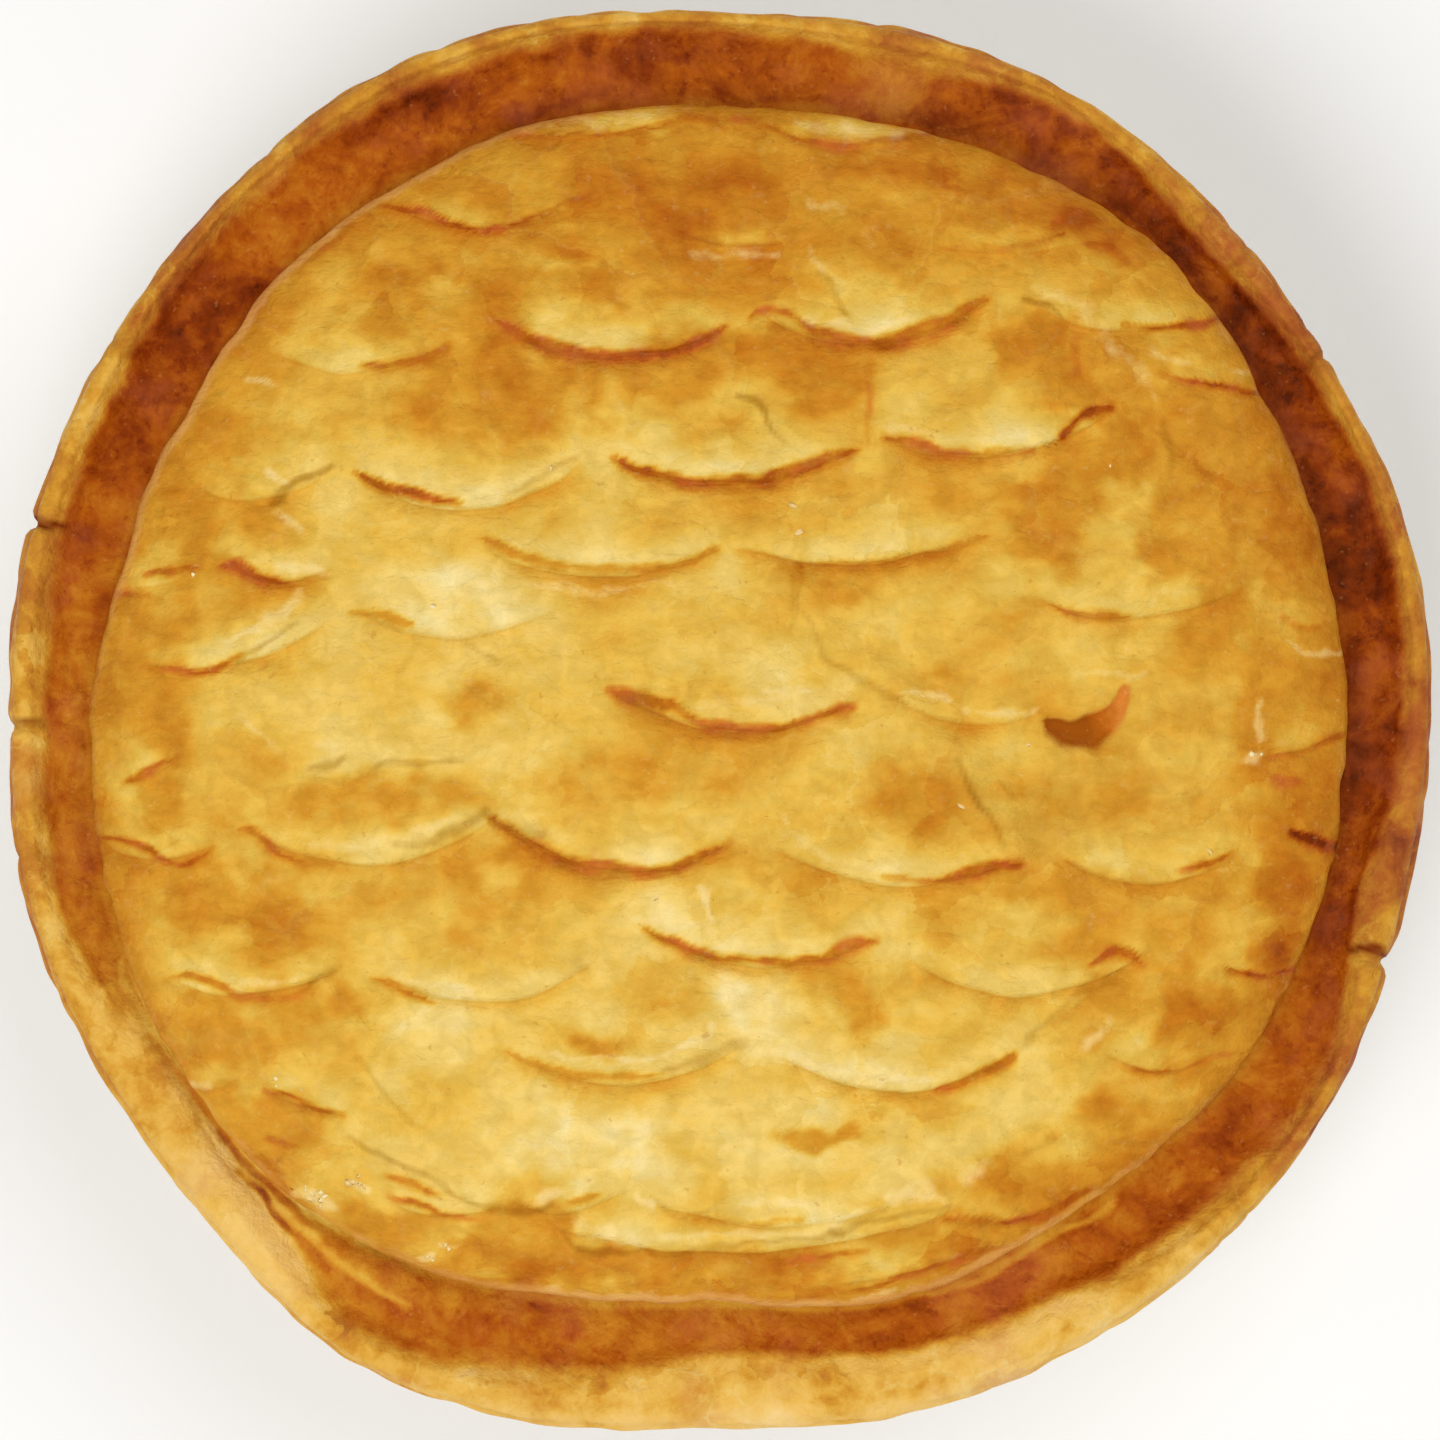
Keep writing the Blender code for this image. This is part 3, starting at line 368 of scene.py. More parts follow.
# Shaded ones are olive grey
SHADED_LINES = (
    (0.35, -11.6, 70, 0.8, -8, 68, 1, -4, 66.6, 1, 2, 66, 1.1, 7, 66.4, 1.1, 12, 67.9, 1.1,
     18.5, 69.7, 0.9), (0.33, 22, 69, 0.8, 26, 67.6, 0.9, 32, 66.2, 0.8),
    (0.65, 13, 62.7, 0.9, 15.5, 60, 1.1, 18.2, 56.6, 0.8),
    (0.95, 41.6, 58.4, 1, 44, 57.8, 1.1, 47.2, 55.6, 0.9),
    (0.58, -30, 31, 0.9, -25, 33.5, 1.1, -19.6, 35.7, 1),
    (0.76, 2.6, 45.4, 1.2, 5.5, 44.2, 1.6, 7, 41.6, 1.1, 9.5, 38.4, 0.8),
    (0.49, 61, 42, 1.4, 62.4, 37.6, 1.6, 62.4, 34, 1.2),
    (0.95, -61.6, 30.2, 0.9, -58, 32.4, 1.2, -53.8, 34.6, 0.9),
    (0.4, -59.5, 19, 1, -56, 19.4, 1, -52.8, 20, 0.7),
    (0.33, -42.4, 13, 0.8, -38, 11.6, 0.9, -32, 12.1, 0.8),
    (0.67, -66.4, 9.2, 0.9, -62.5, 11, 1.1, -58, 13.8, 0.8),
    (0.18, 1.6, 25.2, 0.9, 5.2, 22.6, 1.2, 9, 20.6, 1.2, 14, 20.8, 0.9),
    (0.51, 9.8, 20, 1, 10.8, 15.6, 1.1, 13, 11, 1.1, 16, 7.6, 1.4, 20.5, 4.6, 1.6, 25, 2.6, 1),
    (0.14, 55, 14.7, 0.9, 60, 14.7, 0.8, 65, 15.7, 1.1, 69, 17.1, 1.7, 72.8, 18.7, 1),
    (0.34, -14.8, 3.4, 1.8, -12, 2.8, 3.4, -8.6, 2.2, 3),
    (0.57, -57, -6.8, 1, -54, -5.6, 1.8, -52, -4.8, 1),
    (0.56, -47.5, -6.4, 0.9, -44, -5.2, 1.4, -36, -5.3, 1.2),
    (0.44, -31.8, -13.8, 1.6, -28.4, -15.8, 3, -25.4, -16.4, 1.6),
    (0.61, -45, -17.6, 0.9, -40, -16.6, 1.1, -36, -14.8, 1.4, -32.2, -13.2, 1.5),
    (0.12, 7, -15, 0.9, 11, -18.4, 1.2, 17, -23, 0.9),
    (0.5, 33, -5, 1, 35, -9.6, 1.2, 38, -15, 1.2, 40, -18, 0.9),
    (0.53, -56.6, -36.4, 1, -54.5, -35.2, 1.2, -52, -33.6, 0.8),
    (0.39, -39.6, -38.9, 0.9, -35, -38.8, 0.8),
    (0.5, -7.6, -48.8, 1, -3, -47.2, 2.3, 0, -45.6, 2.1, 3.2, -44.3, 1),
    (0.21, 8, -46.7, 1, 12, -48.9, 1.6, 17, -50.6, 1.7, 24, -51.6, 1.7, 31, -51.6, 1.6),
    (0.46, 42, -44.4, 1, 46, -41, 1.2, 50, -38, 1.2, 55, -35, 1),
    (0.36, -50, -46, 1, -46, -52, 1.4, -41, -56, 1.2),
    (0.64, -52, -57, 0.9, -46, -60.8, 1.2, -40, -64, 1, -34, -66.2, 1.1, -27.5, -67.7, 1.6,
     -23, -67.3, 1.1), (0.47, -9.4, -66, 1, -6.6, -67.8, 1.7, -3.6, -69, 0.9),
    (0.3, -3.6, -68.4, 0.9, 4, -68.5, 1, 12, -68, 0.9),
    (0.63, -21.8, -71.2, 1, -18, -73.3, 1.4, -11, -73.5, 1, -2, -73.3, 1, 6, -73, 1.1, 13, -72, 1.1,
     18, -70.3, 1.3, 24, -69, 1.2, 31.5, -67.6, 1), (0.95, 15.8, -70.9, 1.4, 17.4, -70.5, 1.4),
    (0.46, -19.6, -33, 2.4, -18, -35, 1.6), (0.62, -31, 8.4, 1, -36, 11, 1),
)

# Pale ones are torn lips, and bare dough where a flake has lifted, with painted highlight along the lit
# lips and the lid's front edge
PALE_LINES = (
    (0.35, -27, 83, 1.2, -21, 83.4, 2.6, -14, 83.6, 2.8, -7, 84.6, 1.4),
    (0.45, 10, 83, 1.4, 16, 82.2, 3, 23, 82.4, 3, 30, 82.8, 1.2),
    (0.58, -71.8, 50, 1, -67.5, 56.9, 1.2, -62, 62.5, 1.1, -56, 67.3, 1.2, -50, 71.6, 1.3),
    (0.45, 12.6, 71.5, 2.6, 17, 71.4, 2), (0.53, -4, 65, 0.9, 2, 64.9, 1.4, 8, 64.9, 0.9),
    (0.38, 12.5, 66, 1.2, 15.5, 62.6, 1.8, 19, 60, 1.2),
    (0.31, -27, 54.7, 0.9, -20, 52.9, 1.1, -14, 52.4, 1.1, -7, 53, 0.9),
    (0.6, 11.6, 55.4, 0.9, 16, 54.7, 1.3, 21, 54.2, 1.5, 26, 55, 1.1),
    (0.47, 59.6, 50.6, 1.8, 64, 50, 1.3), (0.36, 44, 60, 1.6, 51, 56, 3, 57, 49, 2.6, 60, 44, 1.4),
    (0.39, 70, 50.6, 1, 74, 48.4, 1.2), (0.31, -15.2, 45.6, 1.3, -13.8, 42.2, 1.7, -12.2, 40.4, 1.1),
    (0.41, 21.6, 40.4, 1.1, 25.5, 40.3, 1.7, 30, 39.4, 1.3, 35, 38.5, 1.1, 41, 38.7, 1, 46.4, 40.4, 0.8),
    (0.68, -65.4, 46.6, 1.4, -61, 46.4, 0.9), (0.75, -62, 34.4, 1.7, -59.8, 33, 1.5),
    (0.56, -60.4, 28, 1.8, -57.8, 26.4, 1.3), (0.57, -61.4, 21.4, 1.7, -57.5, 21.2, 1.9, -54, 20.9, 1),
    (0.65, -68, 10.5, 0.9, -63, 12.9, 1.7, -58.5, 15.9, 2.5, -57.6, 18, 1.6),
    (0.5, -26, 19, 1, -20, 18.5, 1.7, -13, 18.2, 0.9, -5, 19, 0.9),
    (0.45, -3, 2.4, 1.6, 4, 2.4, 2.6, 10, 3.6, 2.4), (0.67, 7.4, 4.4, 1.6, 11.6, 4.2, 1.6),
    (0.79, 24.4, 4.1, 0.9, 28, 3, 1.4, 31.6, 2.5, 0.9), (0.49, 34, 1.4, 0.9, 39, 0.8, 1.4, 44, 0.9, 0.9),
    (0.57, 50.5, 5.9, 0.9, 55, 6.2, 1.2, 59.4, 6.9, 0.8), (0.69, 74.8, 2.6, 1.2, 75, -2.4, 1.5),
    (0.75, 73.6, -4.9, 1.6, 74.8, -4.9, 1.6), (0.44, -66.8, 1.2, 0.8, -63.6, -1.4, 1.2, -61, -3.2, 0.8),
    (0.34, -55.6, -3, 1.7, -50.5, -2.6, 1.3), (0.61, 78, 11.2, 1.1, 82, 9.9, 1.1, 87, 9.9, 0.9),
    (0.41, -57.6, -17.1, 1.1, -53, -17.5, 1.9, -48, -17.1, 1.7, -42, -15.5, 1.5, -35.4, -13.3, 1.1),
    (0.26, -17, -18.4, 1.2, -10, -18.8, 1.6, -5, -17.8, 1.2),
    (0.36, 7.4, -13, 1.1, 11, -16.6, 1.5, 15.5, -19.4, 1.5, 20, -20.3, 1, 26, -20.5, 0.9),
    (0.22, 33, -18.8, 1.4, 37, -17.6, 2.2), (0.15, 54, -18.6, 1, 58, -20.5, 1.1, 61, -22.6, 0.9),
    (0.83, -2.6, -24, 1.6, -1, -27.6, 1.4),
    (0.43, -12, -27.4, 1.1, -9, -27.4, 1.7, -5, -28.6, 1.1, 0, -29.8, 1.1, 5, -30.9, 1),
    (0.5, -66.4, -36.5, 1.3, -62.5, -36.1, 1.8, -59, -36, 1.3),
    (0.43, -44, -35.8, 1, -39, -36.9, 1.3, -34, -37.6, 1.1), (0.72, -74, -50.3, 1.3, -71, -50.3, 1.3),
    (0.66, -23, -46.4, 1.1, -16, -46.8, 1.2, -10, -46.3, 1.3, -5, -44.8, 1.2, -1.5, -43, 1.7,
     -0.5, -41.4, 1.3),
    (0.48, 6.8, -46, 1.7, 11, -46.7, 1.5, 16, -48.5, 1.5, 22, -49.4, 1.2, 30, -49.2, 1.1),
    (0.57, -58.6, -65.4, 1.8, -56, -65.9, 2.7, -53.4, -66.5, 1.9), (0.75, -51.6, -64, 1, -49.4, -64.6, 1),
    (0.85, -41.3, -75.2, 1.5, -40, -74.2, 1.6), (0.76, -39, -72.6, 0.9, -36.4, -72.9, 0.9),
    (0.8, -25.4, -65.8, 2, -22, -65.6, 1.7), (0.82, -10.8, -65.8, 1.6, -8.6, -66.5, 1.2),
    (0.68, 3.6, -66.6, 2.1, 7.5, -66.2, 2.6, 10.8, -66, 1.5),
    (0.65, 23.6, -66, 2.5, 27.5, -65.2, 3, 30.4, -66.6, 1.5),
    (0.52, -19.4, -69.9, 2.6, -13, -71.2, 2.2, -5, -71.2, 1.7, 3, -71.4, 1.4, 11, -70.6, 1.3, 17, -69, 1.4,
     22.4, -68.1, 1.2), (0.53, 33.4, -63.4, 3.2, 36.4, -61.6, 2.4),
    (0.51, 51, -44.4, 2.2, 53.6, -41.8, 2.2), (0.52, -10.6, -54, 1, -9, -58, 1.1, -7.4, -61, 0.9),
    (0.51, 31, -78.2, 1.4, 38, -75.2, 1.6, 45, -71, 1.4, 52, -66.9, 1),
    (0.6, -27, -79.6, 1, -15, -80.6, 1.2, 0, -81, 1.2, 12, -81.4, 1.2, 24, -79.8, 1.1),
)

# How dark the rim's crest and the groove are every 15 degrees, from 0, pale, to 1, darkest: baked browning
# with painted shade, darkest on the right, the side turned from the light
RIM_BROWNING_AND_SHADE = (
    0.68, 0.53, 0.52, 0.57, 0.42, 0.51, 0.36, 0.41, 0.39, 0.55, 0.31, 0.49,
    0.40, 0.34, 0.39, 0.11, 0.43, 0.41, 0.39, 0.29, 0.23, 0.30, 0.55, 0.58,
)
GROOVE_BROWNING_AND_SHADE = (
    0.96, 0.95, 0.95, 0.95, 0.90, 0.85, 0.81, 0.91, 0.83, 0.84, 0.86, 0.84,
    0.75, 0.75, 0.62, 0.48, 0.77, 0.77, 0.75, 0.84, 0.79, 0.80, 0.79, 0.94,
)

# Dark creases in the groove, painted shadow beside the lid's lifted edge at the back and the front left,
# and paler ridges: how brown, then x, y and width at each of their points
RIM_LINES = (
    (0.71, -76, -49.5, 0.8, -74, -52.4, 1.3, -71, -56, 1.4, -68, -60, 1.7, -65, -63.4, 1.5,
     -62, -66.4, 1.5, -59, -69.4, 1.5, -55, -72.6, 1.8, -51, -75.2, 2.6, -47, -77.4, 3.4, -41, -79, 3.4,
     -34, -80.6, 2.6, -27, -81.6, 1.6),
    (0.73, -67.4, -62.6, 0.7, -65, -65.4, 1.2, -62, -69.4, 1.4, -59, -72.6, 1.5, -56, -76, 2,
     -52, -80, 2.4, -48, -83.4, 3, -42, -85.6, 3, -36, -87, 2.4),
    (0.48, -62.6, -67.6, 0.8, -58.4, -71.6, 1.1, -54, -75.6, 1.2, -49, -79.4, 1.3, -43, -81.8, 0.8),
    (0.52, 29, -80.6, 0.9, 43, -74.6, 1.3, 55, -67, 0.8),
    (0.44, -84, -34, 1, -80, -42.5, 1.8, -76, -48.5, 1.2),
    (0.92, -28, 84.4, 1.2, -23, 86, 1.8, -18, 87.4, 1.8, -11, 88.4, 1),
    (0.82, -75.5, 56.5, 0.9, -73.5, 50.5, 2, -74, 44, 3, -77, 38, 2),
)
RIM_LINE_STRENGTH = 0.9

# Places across the rim's section are counted in its corners, from 0 at the lid's edge to 9 under the rim.
# How far out the glaze reaches, less where the groove is closed or narrow, and how softly it ends
GLAZE_REACH = 2.7
CLOSED_REACH = 2.2
NARROW_REACH = 0.35
GLAZE_END = (-0.3, 0.6)
# Groove depths in millimetres between which glaze starts to pool
POOLING_DEPTHS = (1.3, 2.5)
# Where across the section the rim's upper side, its flaky side and its cracks show
UPPER_BAND = (0, 0.5, 5.2, 6.6)
SIDE_BAND = (5.2, 6.6, 8.4, 9)
CRACK_BAND = (2.2, 3.0)
OUTER_BAND = (4.4, 5.6)
INNER_BAND = (0.2, 0.6)

# Stretches of the rim, in degrees: from where to where they begin, and from where to where they end
CLOSED_GROOVE = (205, 209, 221, 236)
EVEN_CRUST = (205, 212, 232, 242)
# Where the painted light beside the lid's edge is strongest
LIT_INNER_GROOVE = (200, 215, 300, 320)
# Where the rim's outer slope gets painted light, facing the lamp
LIT_OUTER_RIM = (240, 275, 305, 325)
BROWN_OUTER_RIM = (145, 165, 212, 235)
# Places where the groove's glaze narrows, widens or is broken, in degrees, and their reach
NARROW_GROOVE = (270, 6)
WIDE_GROOVE = (286, 6)
BROKEN_GLAZE = (74.5, 3.2)

# How brightly the lid's cut edge shows, every 30 degrees
EDGE_SHOWN = (0.1, 0.35, 0.25, 0.2, 0.8, 0.9, 0.3, 0.3, 0.5, 0.9, 0.8, 0.2)

# Small drifts of loose flakes: middle x, y, how widely they are strewn, and how many
FLAKE_DRIFTS = (
    (-56, -66, 1.6, 12), (-50.5, -64, 1, 6), (-40.5, -75, 0.9, 6), (-37.5, -73, 0.8, 3),
    (-60, -50, 1.4, 3), (75, -4.5, 0.9, 3),
)
STRAY_FLAKES = 10
FLAKE_SIZES = (0.25 * MM, 0.8 * MM)
FLAKE_STRETCHES = (0.35, 0.8)
FLAKE_TILT = 0.3
FLAKE_THICKNESS = 0.1 * MM
FLAKE_TOP_SHARE = 0.86
FLAKE_RAGGEDNESS = 0.12
FLAKE_SIDES = 9
FLAKE_SUNK = 0.02 * MM

# How fine the pieces are
LID_COLUMNS = 280
LID_ROWS = 300
LID_ROW_SPACING = 0.58 * MM
LID_WALL_LEVELS = 3
LID_UNDER_SHARES = (0.97, 0.88, 0.7, 0.45, 0.2)
# Inside this share of the lid its vertices may be drawn to the cuts
LID_DRAWN_SHARE = 0.985
RIM_STEPS = 720
RIM_SPAN = 7
RIM_UNDER_LID_SHARES = (0.2, 0.5, 0.75, 0.9, 0.97)
DISH_STEPS = 180
# How many cells the lattices of random values have on each side
SWELL_CELLS = 64
RIPPLE_CELLS = 512


def smooth_step(value, low, high):
    share = np.clip((value - low) / (high - low), 0, 1)
    return share * share * (3 - 2 * share)


def window(value, rise_start, rise_end, fall_start, fall_end):
    """1 between a rise and a fall, and 0 outside them."""
    return smooth_step(value, rise_start, rise_end) * (1 - smooth_step(value, fall_start, fall_end))


def hump(value, middle, reach):
    """1 at the middle, and smoothly less on both sides of it."""
    return np.exp(-(((value - middle) / reach) ** 2))


def curve_between(before, start, end, after, share):
    """A smooth curve from start to end, led by the values before and after them."""
    slope = (end - before) * share
    bend = (2 * before - 5 * start + 4 * end - after) * share**2
    twist = (3 * start - before - 3 * end + after) * share**3
    return start + (slope + bend + twist) / 2


def around(values, angle, scale=MM):
    """A smooth closed curve through values at even angles, read at each angle."""
    values = np.asarray(values) * scale
    place = np.mod(angle, FULL_TURN) / FULL_TURN * len(values)
    first = np.floor(place).astype(int)
    nearest = (values[(first + step) % len(values)] for step in (-1, 0, 1, 2))
    return curve_between(*nearest, place - first)


def through(values, places):
    """A smooth curve through the rows of values, read at each place, counted in rows."""
    last = len(values) - 1
    rows = []
    for place in places:
        first = min(int(place), last - 1)
        nearest = (values[min(max(first + step, 0), last)] for step in (-1, 0, 1, 2))
        rows.append(curve_between(*nearest, place - first))
    return np.array(rows)


def divided(values, parts):
    """Even places along the rows of values, with so many parts between two rows."""
    return np.arange((len(values) - 1) * parts + 1) / parts


def swell(x, y, size, seed, cells=SWELL_CELLS):
    """Smooth random bumps of about this size, between -1 and 1."""
    lattice = np.random.default_rng(seed).uniform(-1, 1, (cells, cells))
    column = x / size + cells / 2
    row = y / size + cells / 2
    left = np.floor(column).astype(int)
    low = np.floor(row).astype(int)
    across = smooth_step(column - left, 0, 1)
    up = smooth_step(row - low, 0, 1)
    near = lattice[low, left] * (1 - across) + lattice[low, left + 1] * across
    far = lattice[low + 1, left] * (1 - across) + lattice[low + 1, left + 1] * across
    return near * (1 - up) + far * up


def ripple(x, y, size, seed, stretch=1):
    """Finer random bumps on a turned lattice, or on a straight one that is stretched across."""
    turn = seed * 0.7 if stretch == 1 else 0
    across = (x * math.cos(turn) + y * math.sin(turn)) / stretch
    up = y * math.cos(turn) - x * math.sin(turn)
    return swell(across, up, size, seed, RIPPLE_CELLS)


def ripples(x, y, kinds):
    """The sum of several kinds of ripple, each at its own size and weight."""
    return sum(weight * ripple(x, y, size * MM, seed, *stretch) for size, weight, seed, *stretch in kinds)


def terraces(x, y, size, steps, seed):
    """Thin layers that end in ragged edges: a slow fall, then a quick rise, between -1 and 0."""
    field = steps * (ripple(x, y, size, seed) + 0.35 * ripple(x, y, size / 3, seed + 1))
    share = field - np.floor(field)
    return smooth_step(share, 0.82, 1) - share


def ragged(x, y, tear):
    """The places moved a little at random, so that what is painted there gets a torn outline."""
    seed, broad, fine = tear
    moved_x, moved_y = (
        place
        + broad * MM * ripple(x, y, BROAD_TEAR_SIZE, first_seed)
        + fine * MM * ripple(x, y, FINE_TEAR_SIZE, first_seed + 1)
        for place, first_seed in ((x, seed), (y, seed + 2))
    )
    return moved_x, moved_y


def to_segment(x, y, start, end):
    """How far along a segment its nearest point is, from 0 to 1, and where each place lies from it."""
    run = end[:2] - start[:2]
    share = ((x - start[0]) * run[0] + (y - start[1]) * run[1]) / (run @ run)
    share = np.clip(share, 0, 1)
    return share, x - start[0] - share * run[0], y - start[1] - share * run[1]


def drawn_line(x, y, line, stroke):
    """How much each place lies on a drawn line: 1 along its middle, and fading at each side."""
    full_behind, gone_behind, full_in_front, gone_in_front, skirt = stroke
    points = np.array(line[1:], float).reshape(-1, 3) * MM
    points = through(points, divided(points, LINE_SPAN))
    widest = SKIRT_REACH / 2 * points[:, 2].max() + MM
    near = (x > points[:, 0].min() - widest) & (x < points[:, 0].max() + widest)
    near &= (y > points[:, 1].min() - widest) & (y < points[:, 1].max() + widest)
    near_x = x[near]
    near_y = y[near]
    mark = np.zeros(near_x.shape)
    for start, end in zip(points, points[1:]):
        share, apart_x, apart_y = to_segment(near_x, near_y, start, end)
        half = (start[2] + share * (end[2] - start[2])) / 2
        drawn = np.maximum(half, THINNEST_HALF)
        away = np.hypot(apart_x, apart_y) / drawn
        in_front = apart_x * (end[1] - start[1]) > apart_y * (end[0] - start[0])
        full = np.where(in_front, full_in_front, full_behind)
        gone = np.where(in_front, gone_in_front, gone_behind)
        core = (1 - smooth_step(away, full, gone)) * np.minimum(half / drawn, 1)
        faint = skirt * (1 - smooth_step(away, SKIRT_START, SKIRT_REACH))
        mark = np.maximum(mark, np.maximum(core, faint))
    result = np.zeros(np.shape(x))
    result[near] = mark
    return result


def patches(x, y, places):
    """The sum of the patches at each place: level inside, and gone just past their outline."""
    total = np.zeros(np.shape(x))
    for middle_x, middle_y, half_x, half_y, amount in places:
        away = np.hypot((x / MM - middle_x) / half_x, (y / MM - middle_y) / half_y)
        total += amount * (1 - smooth_step(away, 0.4, 1.5))
    return total


# ---------- The lid's surface ----------


def groove_floor(angle):
    return RIM_CREST - around(GROOVE_DEPTH, angle)


def edge_share(x, y):
    """How far out a place on the lid is: 0 in the middle, 1 on its edge."""
    return np.minimum(np.hypot(x, y) / around(LID_EDGE, np.arctan2(y, x)), 1)


def dome(x, y, hollow):
    """The height of the lid's smooth dome over its seat, or of its underside where hollow is under 1."""
    share = edge_share(x, y)
    level = groove_floor(np.arctan2(y, x))
    middle = RIM_CREST - SEAT_DROP
    seat = middle + (level - middle) * share**4
    rise = DOME_RISE * (1 - share**2) + SHOULDER_RISE * np.sqrt(1 - share**6)
    return seat + hollow * rise


def lid_cuts():
    return [cut for row in CUT_ROWS for cut in row] + list(LAYER_STEPS + WRINKLES)


def cut_frame(cut):
    """The middle of a cut's chord, its direction, the direction of its sag, its half length and its sag."""
    left_x, left_y, right_x, right_y, sag = cut[:5]
    left = np.array((left_x, left_y)) * MM
    right = np.array((right_x, right_y)) * MM
    half = np.hypot(*(right - left)) / 2
    along = (right - left) / (2 * half)
    front = np.array((along[1], -along[0]))
    return (left + right) / 2, along, front, half, sag * MM


def cut_places(x, y, cut):
    """Where each place lies from a cut: its share along the chord, and its distance in front of the arc."""
    middle, along, front, half, sag = cut_frame(cut)
    offset_x = x - middle[0]
    offset_y = y - middle[1]
    share = (offset_x * along[0] + offset_y * along[1]) / half
    waver = CUT_WAVER * ripple(middle[0] + share * half, middle[1], CUT_WAVER_SIZE, 12)
    ahead = offset_x * front[0] + offset_y * front[1] - sag * (1 - share**2) + waver
    return share, ahead


def draw_to_cuts(x, y):
    """Draws the nearest rows of vertices to each cut, so that every lip gets a clean edge."""
    for cut in lid_cuts()[: -len(WRINKLES)]:
        front = cut_frame(cut)[2]
        share, ahead = cut_places(x, y, cut)
        near = (np.abs(share) < 1) & (np.abs(ahead) < LID_ROW_SPACING)
        drawn = np.sign(ahead) * (LIP_EDGE_HALF_WIDTH + LIP_EDGE_KEEP * np.abs(ahead))
        shift = np.where(near, drawn - ahead, 0)
        x = x + shift * front[0]
        y = y + shift * front[1]
    return x, y


def cut_relief(share, ahead, opening):
    """A cut's raised lip, the foot in front of it, and the slot between them."""
    taper = np.clip(1 - share**2, 0, 1) ** CUT_TAPER
    lip = CUT_LIP_RISE * np.exp(np.minimum(ahead, 0) / CUT_LIP_REACH)
    foot = -CUT_FOOT_DROP * np.exp(-np.maximum(ahead, 0) / CUT_FOOT_REACH)
    over = smooth_step(ahead, -CUT_HALF_WIDTH, CUT_HALF_WIDTH)
    slot = CUT_SLOT_DEPTH * hump(ahead, CUT_SLOT_MIDDLE, CUT_SLOT_REACH)
    return opening * taper * (lip * (1 - over) + foot * over - slot)


def crease_relief(x, y):
    points = np.array(CREASE) * MM
    nearest = np.full(np.shape(x), np.inf)
    for start, end in zip(points, points[1:]):
        apart = to_segment(x, y, start, end)[1:]
        nearest = np.minimum(nearest, np.hypot(*apart))
    return CREASE_RISE * hump(nearest, 0, CREASE_REACH)


def steam_hole_depth(x, y):
    """How deep in the steam hole a place is, from 0 outside it to 1 in its middle."""
    return drawn_line(*ragged(x, y, HOLE_TEAR), STEAM_HOLE, HOLE_STROKE)


def lid_top(x, y):
    """The height of the lid's upper surface, with its fine relief."""
    relief = sum(height * MM * swell(x, y, size * MM, seed) for size, height, seed in SWELLS)
    for cut in lid_cuts():
        relief = relief + cut_relief(*cut_places(x, y, cut), cut[5])
    relief = relief + crease_relief(x, y) - STEAM_HOLE_DEPTH * steam_hole_depth(x, y)
    relief = relief + MM * ripples(x, y, LID_BUMPS) + LID_LAYER_HEIGHT * terraces(x, y, *LID_LAYERS)
    height = dome(x, y, 1) + GAP + LID_EDGE_THICKNESS + relief * (1 - edge_share(x, y) ** 10)
    return np.minimum(height, CAD_HIGH[2])


def lid_underside(x, y):
    return dome(x, y, LID_HOLLOW) + GAP


def lid_browning(x, y):
    """How dark each place on the lid is, from 0, pale, to 1, darkest: its tone, browner towards the edge,
    the back and both sides, with painted shade in front of each cut and a painted highlight on its lip.
    """
    tone = LID_TONE + ripples(x, y, LID_MOTTLES)
    tone = tone + 0.20 * smooth_step(edge_share(x, y), 0.90, 1.0) + 0.14 * smooth_step(y, 48 * MM, 74 * MM)
    tone = tone + 0.05 * smooth_step(-x, 60 * MM, 84 * MM) + 0.12 * smooth_step(x, 60 * MM, 80 * MM)
    uneven = 1 + ripples(x, y, PATCH_MOTTLES)
    tone = tone + uneven * patches(*ragged(x, y, PATCH_TEAR), PATCHES)
    # Behind each cut a painted highlight on its lip, and in front of it browning with painted shade
    for cut in lid_cuts():
        along, ahead = cut_places(x, y, cut)
        taper = np.sqrt(np.clip(1 - along**2, 0, 1))
        over = smooth_step(ahead, -CUT_PAINT_HALF_WIDTH, CUT_PAINT_HALF_WIDTH)
        fading = sum(share * np.exp(-np.maximum(ahead, 0) / reach) for reach, share in CUT_HALO_REACHES)
        pale = CUT_LIP_HIGHLIGHT * hump(ahead, CUT_HIGHLIGHT_PLACE, CUT_HIGHLIGHT_REACH)
        tone = tone + taper * cut[5] * (CUT_HALO * fading * over - pale * (1 - over))
    return np.where(tone > DARKEST_PATCH, DARKEST_PATCH + DARK_SLOPE * (tone - DARKEST_PATCH), tone)


def toasting(x, y):
    """Where the cuts' toasted lines lie, from 0 to 1, and how dark each of them is."""
    x, y = ragged(x, y, TOASTED_TEAR)
    toasted = np.zeros(np.shape(x))
    weight = np.full(np.shape(x), 1e-6)
    depth = np.zeros(np.shape(x))
    for line in TOASTED_LINES:
        mark = drawn_line(x, y, line, TOASTED_STROKE)
        toasted = np.maximum(toasted, mark)
        weight += mark**2
        depth += mark**2 * line[0]
    return toasted, depth / weight


def overlay(x, y, lines, tear):
    """The strongest of the soft lines at each place."""
    x, y = ragged(x, y, tear)
    total = np.zeros(np.shape(x))
    for line in lines:
        total = np.maximum(total, line[0] * drawn_line(x, y, line, SOFT_STROKE))
    return total


# ---------- The rim's surface ----------


def crack_depth(angles):
    depth = np.zeros(len(angles))
    for degrees, crack in RIM_CRACKS:
        apart = np.abs(angles - math.radians(degrees))
        depth += crack * np.clip(1 - apart / CRACK_HALF_WIDTH, 0, 1)
    return depth


def flake_share(angles):
    """How high the thin flake in the groove stands at each angle, from 0 to 1."""
    middle = sum(FLAKE_ANGLES) / 2
    half = (FLAKE_ANGLES[1] - FLAKE_ANGLES[0]) / 2
    return np.clip(1 - ((angles - middle) / half) ** 2, 0, 1)


